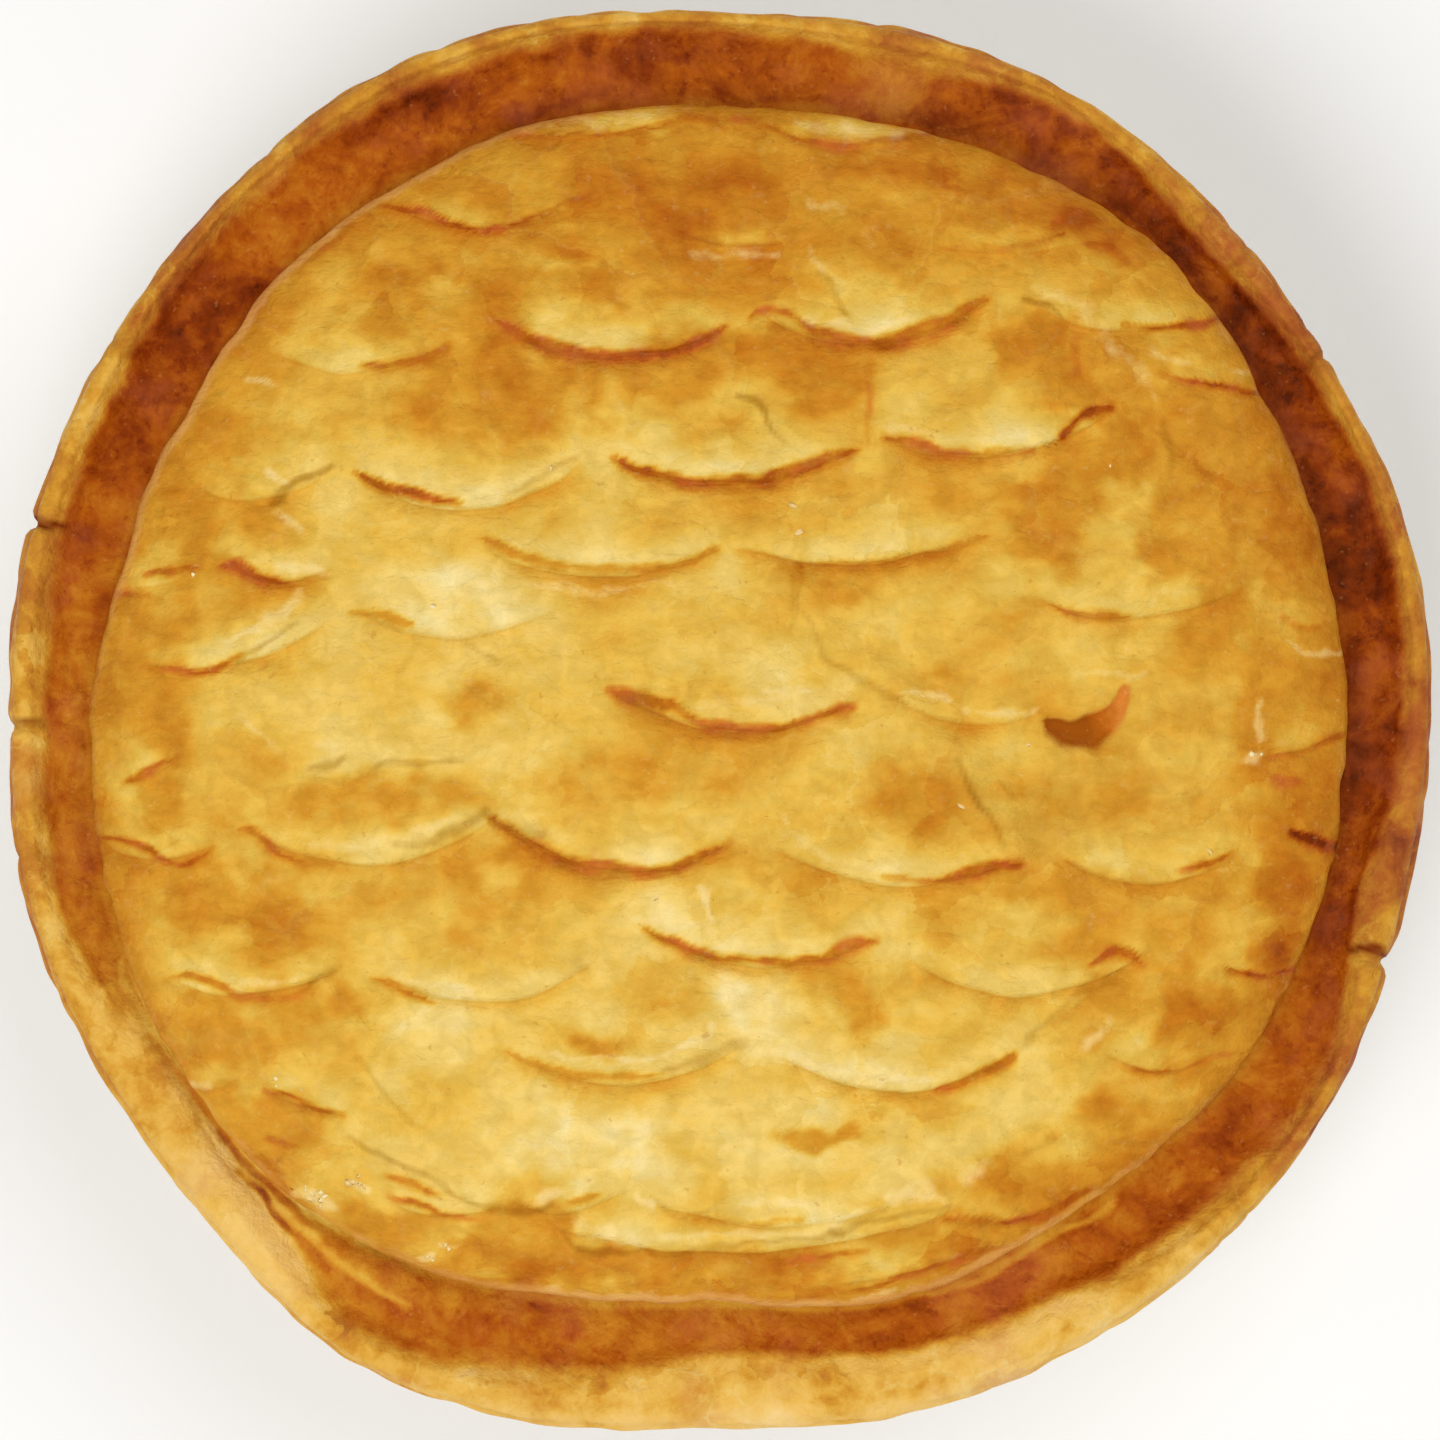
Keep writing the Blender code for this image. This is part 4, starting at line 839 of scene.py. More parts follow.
def rim_section(angles):
    """The pie body's section at each angle: radii and heights from the lid's edge to under the rim."""
    lid_edge = around(LID_EDGE, angles)
    groove = around(GROOVE_OUTSIDE, angles)
    outline = around(OUTLINE, angles) - RIM_INSET
    floor = groove_floor(angles)
    wave = RIM_WAVE * swell(outline * np.cos(angles), outline * np.sin(angles), 14 * MM, 11)
    crest = RIM_CREST + wave
    notch = crack_depth(angles)
    width = groove - lid_edge
    shoulder = outline - groove
    side = crest - RIM_SIDE_DROP
    hang = DISH_HEIGHT - RIM_DROOP + 0.6 * wave
    return [
        (lid_edge, floor),
        (lid_edge + 0.3 * width, floor - 0.2 * MM + FLAKE_RISE * flake_share(angles)),
        (lid_edge + 0.72 * width, floor + 0.3 * MM),
        (groove, floor + 0.55 * (crest - floor) - 0.3 * notch),
        (groove + 0.33 * shoulder, crest - 0.8 * notch),
        (groove + 0.68 * shoulder, crest - 0.5 * MM - notch),
        (outline - 0.9 * MM - 0.5 * notch, crest - 2.0 * MM - notch),
        (outline - 0.8 * notch, side),
        (outline - 0.7 * MM - 0.6 * notch, 0.5 * (side + hang)),
        (outline - 2.6 * MM, hang),
    ]


def rim_loops(angles):
    """The fine loops of that section: radii, heights, and how far across it each one is."""
    section = rim_section(angles)
    places = divided(section, RIM_SPAN)
    radii = through([radius for radius, _ in section], places)
    heights = through([height for _, height in section], places)
    return radii, heights, places


def rounded(corners, segments):
    """A chain of points through the corners, each given as radius, height and how far out it is rounded."""
    points = []
    for index, (radius, height, reach) in enumerate(corners):
        corner = np.array((radius, height))
        if reach == 0:
            points.append(corner)
            continue
        before = np.array(corners[index - 1][:2]) - corner
        after = np.array(corners[index + 1][:2]) - corner
        start = corner + before / np.hypot(*before) * reach
        end = corner + after / np.hypot(*after) * reach
        for share in np.linspace(0, 1, segments + 1):
            blend = start * (1 - share) ** 2 + corner * 2 * share * (1 - share) + end * share**2
            points.append(blend)
    return points


def body_in_dish():
    """The pie body where it lies in the dish: radii and heights from the dish's mouth to its floor."""
    slope = (DISH_MOUTH_RADIUS - DISH_FLOOR_RADIUS) / (DISH_HEIGHT - DISH_FLOOR)
    inwards = DISH_GAP * (math.hypot(1, slope) - slope)
    corners = (
        (DISH_RADIUS, DISH_HEIGHT + DISH_GAP, 0),
        (DISH_MOUTH_RADIUS - inwards, DISH_HEIGHT + DISH_GAP, MOUTH_ROUNDING),
        (DISH_FLOOR_RADIUS - inwards, DISH_FLOOR + DISH_GAP, FLOOR_ROUNDING),
        (0, DISH_FLOOR + DISH_GAP, 0),
    )
    return rounded(corners, 2)[1:-1]


def rim_browning(angles, across, x, y):
    """How dark the rim is at each place across its section, with painted shade and painted light in its
    browning, and how much of it is pooled glaze.
    """
    degrees = np.degrees(angles)
    closed = window(degrees, *CLOSED_GROOVE)
    narrowed = hump(degrees, *NARROW_GROOVE) - hump(degrees, *WIDE_GROOVE)
    reach = GLAZE_REACH - CLOSED_REACH * closed - NARROW_REACH * narrowed
    beyond = across + ripples(x, y, POOL_WAVES) - reach
    deep = smooth_step(around(GROOVE_DEPTH, angles, 1), *POOLING_DEPTHS)
    pool = (1 - smooth_step(beyond, *GLAZE_END)) * np.maximum(deep, closed)
    pool = pool * (1 - 0.75 * hump(degrees, *BROKEN_GLAZE) * smooth_step(across, 0.0, 0.9))

    crust = around(RIM_BROWNING_AND_SHADE, angles, 1)
    glaze = around(GROOVE_BROWNING_AND_SHADE, angles, 1)
    even = window(degrees, *EVEN_CRUST) * (1 - pool)
    tone = crust + (glaze - crust) * pool + ripples(x, y, RIM_MOTTLES) * (1 - 0.3 * pool - 0.6 * even)
    # Paler just beside the lid's edge, most at the front: painted light over the shade under the lid's edge
    inner = 0.05 + 0.12 * window(degrees, *LIT_INNER_GROOVE)
    tone = tone - inner * (1 - smooth_step(across, *INNER_BAND))
    tone = tone - 0.12 * flake_share(angles) * hump(across, 1, 0.25) * (1 - closed)
    # The rim's outer slope paler, most at the front where it faces the lamp: painted light; browner on the
    # left
    outer = 0.05 + 0.14 * window(degrees, *LIT_OUTER_RIM) - 0.1 * window(degrees, *BROWN_OUTER_RIM)
    tone = tone - outer * smooth_step(across, *OUTER_BAND)
    torn_x, torn_y = ragged(x, y, RIM_TEAR)
    # Dark creases, painted shadow beside the lid's edge, and paler ridges
    for line in RIM_LINES:
        mark = RIM_LINE_STRENGTH * drawn_line(torn_x, torn_y, line, RIM_STROKE)
        tone = tone + (line[0] - tone) * mark
    return tone, pool


# ---------- Mesh helpers ----------


def points_of(mesh):
    points = np.empty(len(mesh.vertices) * 3, np.float32)
    mesh.vertices.foreach_get("co", points)
    return points.reshape(-1, 3).astype(np.float64)


def set_points(mesh, x, y, z):
    mesh.vertices.foreach_set("co", np.column_stack((x, y, z)).astype(np.float32).ravel())
    mesh.update()


def paint(mesh, **layers):
    """Gives each vertex the numbers that the piece's material reads, by their names."""
    for name, values in layers.items():
        layer = mesh.attributes.new(name, "FLOAT", "POINT")
        layer.data.foreach_set("value", np.ascontiguousarray(values, np.float32))


def spun(profile, steps):
    """A profile of radii and heights, spun a full turn round the pie's axis."""
    form = bmesh.new()
    chain = [form.verts.new((radius, 0, height)) for radius, height in profile]
    edges = [form.edges.new(pair) for pair in zip(chain, chain[1:])]
    bmesh.ops.spin(
        form,
        geom=chain + edges,
        cent=(0, 0, 0),
        axis=(0, 0, 1),
        angle=FULL_TURN,
        steps=steps,
        use_merge=True,
    )
    return form


def mesh_of(name, form):
    mesh = bpy.data.meshes.new(name)
    form.to_mesh(mesh)
    form.free()
    mesh.shade_smooth()
    return mesh


def face_outwards(mesh):
    form = bmesh.new()
    form.from_mesh(mesh)
    bmesh.ops.recalc_face_normals(form, faces=form.faces)
    form.to_mesh(mesh)
    form.free()


def place_piece(name, mesh, material, slot, *nodes):
    mesh.materials.append(material)
    piece = bpy.data.objects.new(name, mesh)
    bpy.context.scene.collection.objects.link(piece)
    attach(piece, "root")
    if nodes:
        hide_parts(*nodes)


# ---------- Node helpers ----------


def srgb(red, green, blue):
    def linear(value):
        value /= 255
        return value / 12.92 if value <= 0.04045 else ((value + 0.055) / 1.055) ** 2.4

    return (linear(red), linear(green), linear(blue), 1)


def fill_inputs(tree, node, inputs):
    """Sets a node's inputs to values, or joins them to other nodes' outputs."""
    for socket, value in inputs.items():
        if isinstance(value, bpy.types.NodeSocket):
            tree.links.new(value, node.inputs[socket])
        else:
            node.inputs[socket].default_value = value


def add(tree, kind, inputs=None, **settings):
    node = tree.nodes.new(kind)
    for name, value in settings.items():
        setattr(node, name, value)
    fill_inputs(tree, node, inputs or {})
    return node


def maths(tree, operation, first, second=0.0, third=0.0, clamp=False):
    inputs = {0: first, 1: second, 2: third}
    return add(tree, "ShaderNodeMath", inputs, operation=operation, use_clamp=clamp).outputs[0]


def times(tree, first, second):
    return maths(tree, "MULTIPLY", first, second)


def plus(tree, total, *parts):
    """The total with each of the parts added at its weight."""
    for value, weight in parts:
        total = maths(tree, "MULTIPLY_ADD", value, weight, total)
    return total


def vector_maths(tree, operation, first, second):
    inputs = {0: first, 3 if operation == "SCALE" else 1: second}
    return add(tree, "ShaderNodeVectorMath", inputs, operation=operation).outputs[0]


def remap(tree, value, low, high, new_low=0.0, new_high=1.0):
    inputs = {"Value": value, "From Min": low, "From Max": high, "To Min": new_low, "To Max": new_high}
    return add(tree, "ShaderNodeMapRange", inputs, interpolation_type="SMOOTHSTEP").outputs["Result"]


def mix_colours(tree, share, first, second, blend="MIX"):
    inputs = {0: share, 6: first, 7: second}
    return add(tree, "ShaderNodeMix", inputs, data_type="RGBA", blend_type=blend).outputs[2]


def tint(tree, colour, mask, strength, other):
    """A colour mixed towards another one where a mask lies."""
    return mix_colours(tree, times(tree, mask, strength), colour, other)


def noise(tree, place, scale, detail=3.0, roughness=0.55, distortion=0.0, output="Fac"):
    inputs = {
        "Vector": place,
        "Scale": scale,
        "Detail": detail,
        "Roughness": roughness,
        "Distortion": distortion,
    }
    return add(tree, "ShaderNodeTexNoise", inputs).outputs[output]


def noise_mask(tree, place, scale, low, high, *finer):
    """Spots where a noise is over low, full where it is over high."""
    return remap(tree, noise(tree, place, scale, *finer), low, high)


def even_noise(tree, place, scale, *finer):
    """A noise around 0."""
    return maths(tree, "SUBTRACT", noise(tree, place, scale, *finer), 0.5)


def attribute(tree, name):
    return add(tree, "ShaderNodeAttribute", attribute_name=name).outputs["Fac"]


def object_place(tree):
    return add(tree, "ShaderNodeTexCoord").outputs["Object"]


def ramp(tree, value, stops):
    node = add(tree, "ShaderNodeValToRGB", {"Fac": value})
    band = node.color_ramp
    while len(band.elements) < len(stops):
        band.elements.new(0.5)
    for element, (place, colour) in zip(band.elements, stops):
        element.position = place
        element.color = srgb(*colour)
    return node.outputs["Color"]


def bump(tree, height, strength, distance):
    inputs = {"Height": height, "Strength": strength, "Distance": distance}
    return add(tree, "ShaderNodeBump", inputs).outputs["Normal"]


def new_group(name, inputs, outputs):
    """A shader node group: inputs and outputs are names with their socket type and first value."""
    group = bpy.data.node_groups.new(name, "ShaderNodeTree")
    for direction, sockets in (("INPUT", inputs), ("OUTPUT", outputs)):
        for label, (kind, value) in sockets.items():
            kind = "NodeSocket" + kind
            socket = group.interface.new_socket(name=label, in_out=direction, socket_type=kind)
            if value is not None:
                socket.default_value = value
    return group, group.nodes.new("NodeGroupInput").outputs, group.nodes.new("NodeGroupOutput")


def use_group(tree, group, **inputs):
    return add(tree, "ShaderNodeGroup", inputs, node_tree=group).outputs


def new_material(name):
    material = bpy.data.materials.new(name)
    material.use_nodes = True
    tree = material.node_tree
    return material, tree, tree.nodes["Principled BSDF"]


# ---------- What the baked surfaces share ----------

# From pale dough through gold to dark brown
BAKED_COLOURS = (
    (0.00, (243, 221, 152)),
    (0.18, (236, 202, 109)),
    (0.34, (227, 182, 73)),
    (0.50, (213, 151, 44)),
    (0.63, (196, 121, 27)),
    (0.76, (172, 83, 11)),
    (0.88, (134, 49, 4)),
    (1.00, (88, 24, 2)),
)
STEAM_HOLE_COLOURS = (
    (0.00, (156, 78, 8)),
    (0.30, (182, 94, 14)),
    (0.70, (216, 132, 50)),
)
BARE_DOUGH_AND_HIGHLIGHT = srgb(249, 219, 152)
LIFTED_LAYER = srgb(244, 208, 120)
CUT_LAYERS = srgb(226, 164, 88)
PALE_FLECK = srgb(246, 222, 150)
BROWN_SPECK = srgb(180, 100, 30)
ROSY_TOAST = srgb(208, 104, 50)
RIM_PEACH = srgb(240, 186, 110)
RIM_DUST = srgb(146, 110, 82)
RIM_ROSE = srgb(186, 92, 54)
RIM_FLECK = srgb(226, 160, 90)
RIM_SPECK = srgb(120, 52, 14)
LOOSE_FLAKE = srgb(252, 240, 205)
# What multiplies the baked colour: painted shade and painted light of a fine crumple, and the olive shade
CRUMPLE_PAINTED_SHADE = (0.93, 0.93, 0.9, 1)
CRUMPLE_PAINTED_LIGHT = (1.06, 1.06, 1.08, 1)
OLIVE_SHADE = (0.60, 0.49, 0.26, 1)
CRACK_TONE = 0.93
EGG_WASH = {"Specular IOR Level": 0.14, "Specular Tint": (1, 0.6, 0.16, 1), "Coat Roughness": 0.35}


def baked_colour_group():
    """The colour of pastry baked to a given tone."""
    inputs = {"Browning": ("Float", 0.4)}
    group, entry, leave = new_group("baked_colour", inputs, {"Color": ("Color", None)})
    fill_inputs(group, leave, {"Color": ramp(group, entry["Browning"], BAKED_COLOURS)})
    return group


def pastry_grain_group():
    """The mottling, smears, specks and fine crumple of egg-washed pastry."""
    group, entry, leave = new_group(
        "pastry_grain",
        {"Place": ("Vector", None), "Smear": ("Float", 2.0)},
        {name: ("Float", None) for name in ("Mottle", "Flecks", "Specks", "Height")},
    )
    place = entry["Place"]
    squeeze = add(group, "ShaderNodeCombineXYZ", {"X": 1.0, "Y": entry["Smear"], "Z": 1.0}).outputs[0]
    smeared = vector_maths(group, "MULTIPLY", place, squeeze)
    broad = noise(group, smeared, 130.0, 4.0, 0.6, 0.4)
    small = noise(group, smeared, 520.0, 3.0, 0.6, 0.2)
    crumple = noise(group, smeared, 330.0, 5.0, 0.62, 0.6)
    pores = noise(group, place, 1500.0, 2.0, 0.5)
    fill_inputs(group, leave, {
        "Mottle": plus(group, times(group, broad, 0.65), (small, 0.35)),
        "Flecks": noise_mask(group, place, 900.0, 0.66, 0.74, 2.0, 0.5),
        "Specks": noise_mask(group, place, 700.0, 0.70, 0.76, 2.0, 0.5, 0.3),
        "Height": plus(group, crumple, (pores, 0.25)),
    })
    return group


def flaky_layers_group():
    """Thin sheets of pastry that overlap: a tone for each sheet, and its thin ragged edge."""
    group, entry, leave = new_group(
        "flaky_layers",
        {"Place": ("Vector", None), "Sheets": ("Float", 50.0), "Raggedness": ("Float", 0.008)},
        {"Tone": ("Float", None), "Edge": ("Float", None)},
    )
    place = entry["Place"]
    sheets = entry["Sheets"]
    cloud = noise(group, place, times(group, sheets, 2.2), 4.0, 0.6, output="Color")
    centred = vector_maths(group, "SUBTRACT", cloud, (0.5, 0.5, 0.5))
    pushed = vector_maths(group, "SCALE", centred, entry["Raggedness"])
    cells = {"Vector": vector_maths(group, "ADD", place, pushed), "Scale": sheets}
    sheet = add(group, "ShaderNodeTexVoronoi", cells, feature="F1").outputs["Color"]
    border = add(group, "ShaderNodeTexVoronoi", cells, feature="DISTANCE_TO_EDGE").outputs["Distance"]
    line = remap(group, border, 0.0, 0.045, 1.0, 0.0)
    fill_inputs(group, leave, {
        "Tone": add(group, "ShaderNodeSeparateColor", {0: sheet}).outputs[0],
        "Edge": times(group, line, noise_mask(group, place, 90.0, 0.46, 0.60, 2.0)),
    })
    return group


def lid_pastry_material(baked, grain, layers):
    """Golden puff pastry: browned patches, pale lips, and dark toasted edges under the lips."""
    material, tree, shader = new_material("golden_puff_pastry")
    place = object_place(tree)
    surface = use_group(tree, grain, Place=place, Smear=1.6)
    broad = use_group(tree, layers, Place=place, Sheets=52.0, Raggedness=0.011)
    small = use_group(tree, layers, Place=place, Sheets=125.0, Raggedness=0.006)
    torn = even_noise(tree, place, 420.0, 4.0)
    cloud = even_noise(tree, place, 70.0, 5.0, 0.62, 0.5)
    drawn = attribute(tree, "toasted")
    toast_depth = attribute(tree, "toast_depth")

    # The painted tone: the lid's browning with the painted highlight and painted shade of its cuts
    tone = maths(tree, "MULTIPLY_ADD", attribute(tree, "browning"), 1.14, -0.32)
    tone = plus(tree, tone, (surface["Mottle"], 0.34), (cloud, 0.14))
    tone = plus(tree, tone, (broad["Tone"], 0.09), (small["Tone"], 0.07))
    # Pale marks: torn lips and bare dough, with painted highlight on the lit lips
    bare = remap(tree, plus(tree, attribute(tree, "pale"), (torn, 1.3)), 0.1, 1.05)
    tone = plus(tree, tone, (bare, -0.12))
    toasted = remap(tree, plus(tree, drawn, (torn, 0.6), (cloud, 0.3)), 0.0, 1.0)
    core = remap(tree, drawn, 0.72, 1.0, -0.07, 0.05)
    toasted_tone = plus(tree, 0.45, (toast_depth, 0.34), (core, 1.0), (torn, 0.35), (cloud, 0.3))
    toasted_tone = maths(tree, "MAXIMUM", toasted_tone, maths(tree, "ADD", tone, 0.08))
    shift = maths(tree, "SUBTRACT", toasted_tone, tone)
    tone = plus(tree, tone, (shift, times(tree, toasted, 0.95)))
    colour = use_group(tree, baked, Browning=tone)["Color"]
    rosy = times(tree, toasted, noise_mask(tree, place, 150.0, 0.46, 0.62, 3.0))
    rosy = times(tree, rosy, remap(tree, toast_depth, 0.25, 0.5))
    colour = tint(tree, colour, rosy, 0.45, ROSY_TOAST)
    colour = tint(tree, colour, broad["Edge"], 0.06, LIFTED_LAYER)

    # Painted shade and painted light of a fine crumple, in random spots
    crumple_shaded = mix_colours(tree, 1.0, colour, CRUMPLE_PAINTED_SHADE, "MULTIPLY")
    crumple_lit = mix_colours(tree, 1.0, colour, CRUMPLE_PAINTED_LIGHT, "MULTIPLY")
    crumple_light_mask = noise_mask(tree, place, 230.0, 0.36, 0.64, 4.0, 0.6, 0.8)
    colour = mix_colours(tree, crumple_light_mask, crumple_shaded, crumple_lit)
    shaded = maths(tree, "MULTIPLY_ADD", torn, 0.3, attribute(tree, "shaded"), clamp=True)
    olive = mix_colours(tree, 1.0, colour, OLIVE_SHADE, "MULTIPLY")
    colour = mix_colours(tree, remap(tree, shaded, 0.02, 1.0), colour, olive)
    colour = tint(tree, colour, bare, 0.6, BARE_DOUGH_AND_HIGHLIGHT)

    opened = attribute(tree, "steam_hole")
    hole_tone = plus(tree, attribute(tree, "hole_side"), (opened, -0.3), (torn, 0.8))
    opened = remap(tree, plus(tree, opened, (torn, 0.5)), 0.05, 0.8)
    colour = mix_colours(tree, opened, colour, ramp(tree, hole_tone, STEAM_HOLE_COLOURS))
    edge = remap(tree, plus(tree, attribute(tree, "cut_edge"), (torn, 0.9), (cloud, 0.9)), 0.1, 0.9)
    colour = tint(tree, colour, edge, 0.75, CUT_LAYERS)
    colour = tint(tree, colour, surface["Flecks"], 0.1, PALE_FLECK)
    colour = tint(tree, colour, surface["Specks"], 0.3, BROWN_SPECK)

    height = plus(tree, surface["Height"], (broad["Tone"], 0.15), (small["Tone"], 0.1))
    fill_inputs(tree, shader, EGG_WASH | {
        "Base Color": colour,
        "Roughness": remap(tree, surface["Mottle"], 0.35, 0.65, 0.42, 0.62),
        "Normal": bump(tree, height, 0.7, 0.0008),
        "Coat Weight": 0.02,
    })
    return material


def rim_pastry_material(baked, grain, layers):
    """The rim's golden crust and the groove's dark, shiny pool of baked egg wash."""
    material, tree, shader = new_material("browned_rim_pastry")
    place = object_place(tree)
    surface = use_group(tree, grain, Place=place, Smear=1.0)
    sheets = use_group(tree, layers, Place=place, Sheets=95.0, Raggedness=0.008)
    glazed = attribute(tree, "glazed")
    crust = maths(tree, "SUBTRACT", 1.0, glazed)

    def by_crust(extra, everywhere):
        return maths(tree, "MULTIPLY_ADD", crust, extra, everywhere)

    cloud = even_noise(tree, place, 150.0, 6.0, 0.7, 0.6)
    mottle = maths(tree, "SUBTRACT", surface["Mottle"], 0.5)
    pits = times(tree, noise_mask(tree, place, 480.0, 0.56, 0.68, 3.0, 0.6), glazed)
    # The painted tone: the rim's browning with painted shade and painted light
    tone = maths(tree, "ADD", attribute(tree, "browning"), by_crust(0.10, -0.06))
    tone = plus(tree, tone, (mottle, by_crust(0.16, 0.46)), (cloud, by_crust(0.08, 0.45)), (pits, 0.06))
    tone = plus(tree, tone, (sheets["Tone"], by_crust(0.08, 0.03)))
    colour = use_group(tree, baked, Browning=tone)["Color"]
    colour = tint(tree, colour, remap(tree, tone, 0.2, 0.55, 0.45, 0.0), crust, RIM_PEACH)
    colour = tint(tree, colour, remap(tree, tone, 0.42, 0.66, 0.0, 0.16), crust, RIM_DUST)
    colour = tint(tree, colour, noise_mask(tree, place, 85.0, 0.5, 0.68, 4.0, 0.6), 0.3, RIM_ROSE)
    pale = use_group(tree, baked, Browning=maths(tree, "SUBTRACT", tone, 0.22))["Color"]
    colour = tint(tree, colour, sheets["Edge"], by_crust(0.3, 0.06), pale)
    crack = use_group(tree, baked, Browning=CRACK_TONE)["Color"]
    colour = mix_colours(tree, attribute(tree, "crack"), colour, crack)
    colour = tint(tree, colour, surface["Flecks"], 0.16, RIM_FLECK)
    colour = tint(tree, colour, surface["Specks"], 0.08, RIM_SPECK)

    dull = remap(tree, surface["Mottle"], 0.35, 0.65, 0.46, 0.64)
    height = plus(tree, surface["Height"], (sheets["Tone"], 0.2))
    fill_inputs(tree, shader, EGG_WASH | {
        "Base Color": colour,
        "Roughness": plus(tree, dull, (glazed, -0.1)),
        "Normal": bump(tree, height, 0.7, 0.0009),
        "Coat Weight": 0.03,
    })
    return material


def dish_glaze_material():
    """Off-white stoneware glaze, a little uneven, with fine iron specks and a bare ring underneath."""
    material, tree, shader = new_material("stoneware_glaze")
    place = object_place(tree)
    bare = attribute(tree, "unglazed")
    cloud = noise_mask(tree, place, 28.0, 0.35, 0.65, 3.0)
    colour = mix_colours(tree, cloud, srgb(238, 233, 222), srgb(228, 221, 206))
    specks = noise_mask(tree, place, 620.0, 0.72, 0.76, 2.0, 0.5)
    colour = tint(tree, colour, specks, 0.5, srgb(150, 124, 96))
    fill_inputs(tree, shader, {
        "Base Color": mix_colours(tree, bare, colour, srgb(205, 184, 156)),
        "Roughness": remap(tree, bare, 0.0, 1.0, 0.16, 0.8),
        "Normal": bump(tree, noise(tree, place, 60.0, 2.0), 0.12, 0.001),
        "Coat Weight": 0.2,
        "Coat Roughness": 0.08,
    })
    return material


def loose_flake_material(baked, grain):
    """The pale, dry top layer of the pastry."""
    material, tree, shader = new_material("pastry_flakes")
    place = object_place(tree)
    surface = use_group(tree, grain, Place=place, Smear=1.0)
    tone = remap(tree, noise(tree, place, 160.0, 2.0), 0.35, 0.65, 0.0, 0.4)
    colour = use_group(tree, baked, Browning=tone)["Color"]
    fill_inputs(tree, shader, {
        "Base Color": mix_colours(tree, 0.25, colour, LOOSE_FLAKE),
        "Roughness": remap(tree, surface["Mottle"], 0.3, 0.7, 0.4, 0.6),
        "Normal": bump(tree, surface["Height"], 0.4, 0.0003),
    })
    return material


# ---------- Pieces ----------


def folded_grid():
    """A grid whose border is folded down and under, with each fold's number as its depth, then closed."""
    form = bmesh.new()
    bmesh.ops.create_grid(form, x_segments=LID_COLUMNS, y_segments=LID_ROWS, size=1)
    border = [edge for edge in form.edges if edge.is_boundary]
    for level in range(1, LID_WALL_LEVELS + len(LID_UNDER_SHARES) + 1):
        folded = bmesh.ops.extrude_edge_only(form, edges=border)["geom"]
        for vertex in folded:
            if isinstance(vertex, bmesh.types.BMVert):
                vertex.co.z = -level
        border = [edge for edge in folded if isinstance(edge, bmesh.types.BMEdge) and edge.is_boundary]
    bmesh.ops.holes_fill(form, edges=border, sides=0)
    return form


def make_lid(material):
    """The folded grid, shaped to the lid's outline, top, cut edge and underside."""
    mesh = mesh_of("lid_pastry", folded_grid())
    grid = points_of(mesh)
    level = np.round(-grid[:, 2]).astype(int)
    disc_x = grid[:, 0] * np.sqrt(1 - grid[:, 1] ** 2 / 2)
    disc_y = grid[:, 1] * np.sqrt(1 - grid[:, 0] ** 2 / 2)
    angle = np.arctan2(disc_y, disc_x)
    share = np.hypot(disc_x, disc_y)
    edge = around(LID_EDGE, angle)
    uneven = ripples(edge * np.cos(angle), edge * np.sin(angle), LID_EDGE_WAVES)
    waver = np.maximum(LID_WAVER_BIAS + uneven, 0) * smooth_step(share, LID_WAVER_START, 1)
    edge = edge - LID_EDGE_WAVER * waver
    shares = np.array((1,) * (LID_WALL_LEVELS + 1) + LID_UNDER_SHARES)
    radius = np.where(level == 0, share, shares[level]) * edge
    x = radius * np.cos(angle)
    y = radius * np.sin(angle)
    drawn_x, drawn_y = draw_to_cuts(x, y)
    inner = (level == 0) & (share < LID_DRAWN_SHARE)
    x = np.where(inner, drawn_x, x)
    y = np.where(inner, drawn_y, y)
    top = lid_top(x, y)
    low = lid_underside(x, y)
    down = np.clip(level / LID_WALL_LEVELS, 0, 1)
    layered = WALL_BULGE * np.sin(down * math.pi) + WALL_ROUGHNESS * ripple(x * 3, y * 3, 5 * MM, 41)
    tuck = np.where((level > 0) & (level <= LID_WALL_LEVELS), layered * down, 0)
    height = np.where(level <= LID_WALL_LEVELS, top + (low - top) * down, low)
    set_points(mesh, x - tuck * np.cos(angle), y - tuck * np.sin(angle), height)
    face_outwards(mesh)

    toasted, toast_depth = toasting(x, y)
    shown = around(EDGE_SHOWN, angle, 1)
    paint(
        mesh,
        browning=lid_browning(x, y) + WALL_BROWNING * smooth_step(down, 0, 0.7) * (1 - shown),
        toasted=toasted,
        toast_depth=toast_depth,
        shaded=overlay(x, y, SHADED_LINES, SHADED_TEAR) + patches(*ragged(x, y, SHADY_TEAR), SHADY_PLACES),
        pale=overlay(x, y, PALE_LINES, PALE_TEAR),
        cut_edge=smooth_step(share, *CUT_EDGE_BAND) * shown,
        steam_hole=steam_hole_depth(x, y),
        hole_side=smooth_step(x + 0.5 * y, *HOLE_SIDE_BAND),
    )
    place_piece("lid_pastry", mesh, material, "golden_pastry", "pastry_lid")


def body_loops(angles):
    """The whole pie body's loops, from its middle under the lid to its floor, and where its rim ends."""
    radii, heights, places = rim_loops(angles)
    lid_edge = around(LID_EDGE, angles)
    covered = []
    for share in RIM_UNDER_LID_SHARES:
        radius = share * lid_edge
        covered.append((radius, dome(radius * np.cos(angles), radius * np.sin(angles), LID_HOLLOW)))
    hidden = [
        (DISH_RADIUS + DISH_GAP + 0.4 * MM, heights[-1] + 0.5 * MM),
        (DISH_RADIUS + DISH_GAP, DISH_HEIGHT + DISH_GAP),
        *body_in_dish(),
    ]
    loops = covered + list(zip(radii, heights)) + hidden
    all_radii = np.array([radius + 0 * angles for radius, _ in loops])
    all_heights = np.array([height + 0 * angles for _, height in loops])
    across = np.concatenate((np.full(len(covered), -1), places, np.full(len(hidden), places[-1] + 1)))
    return all_radii, all_heights, across, places[-1]


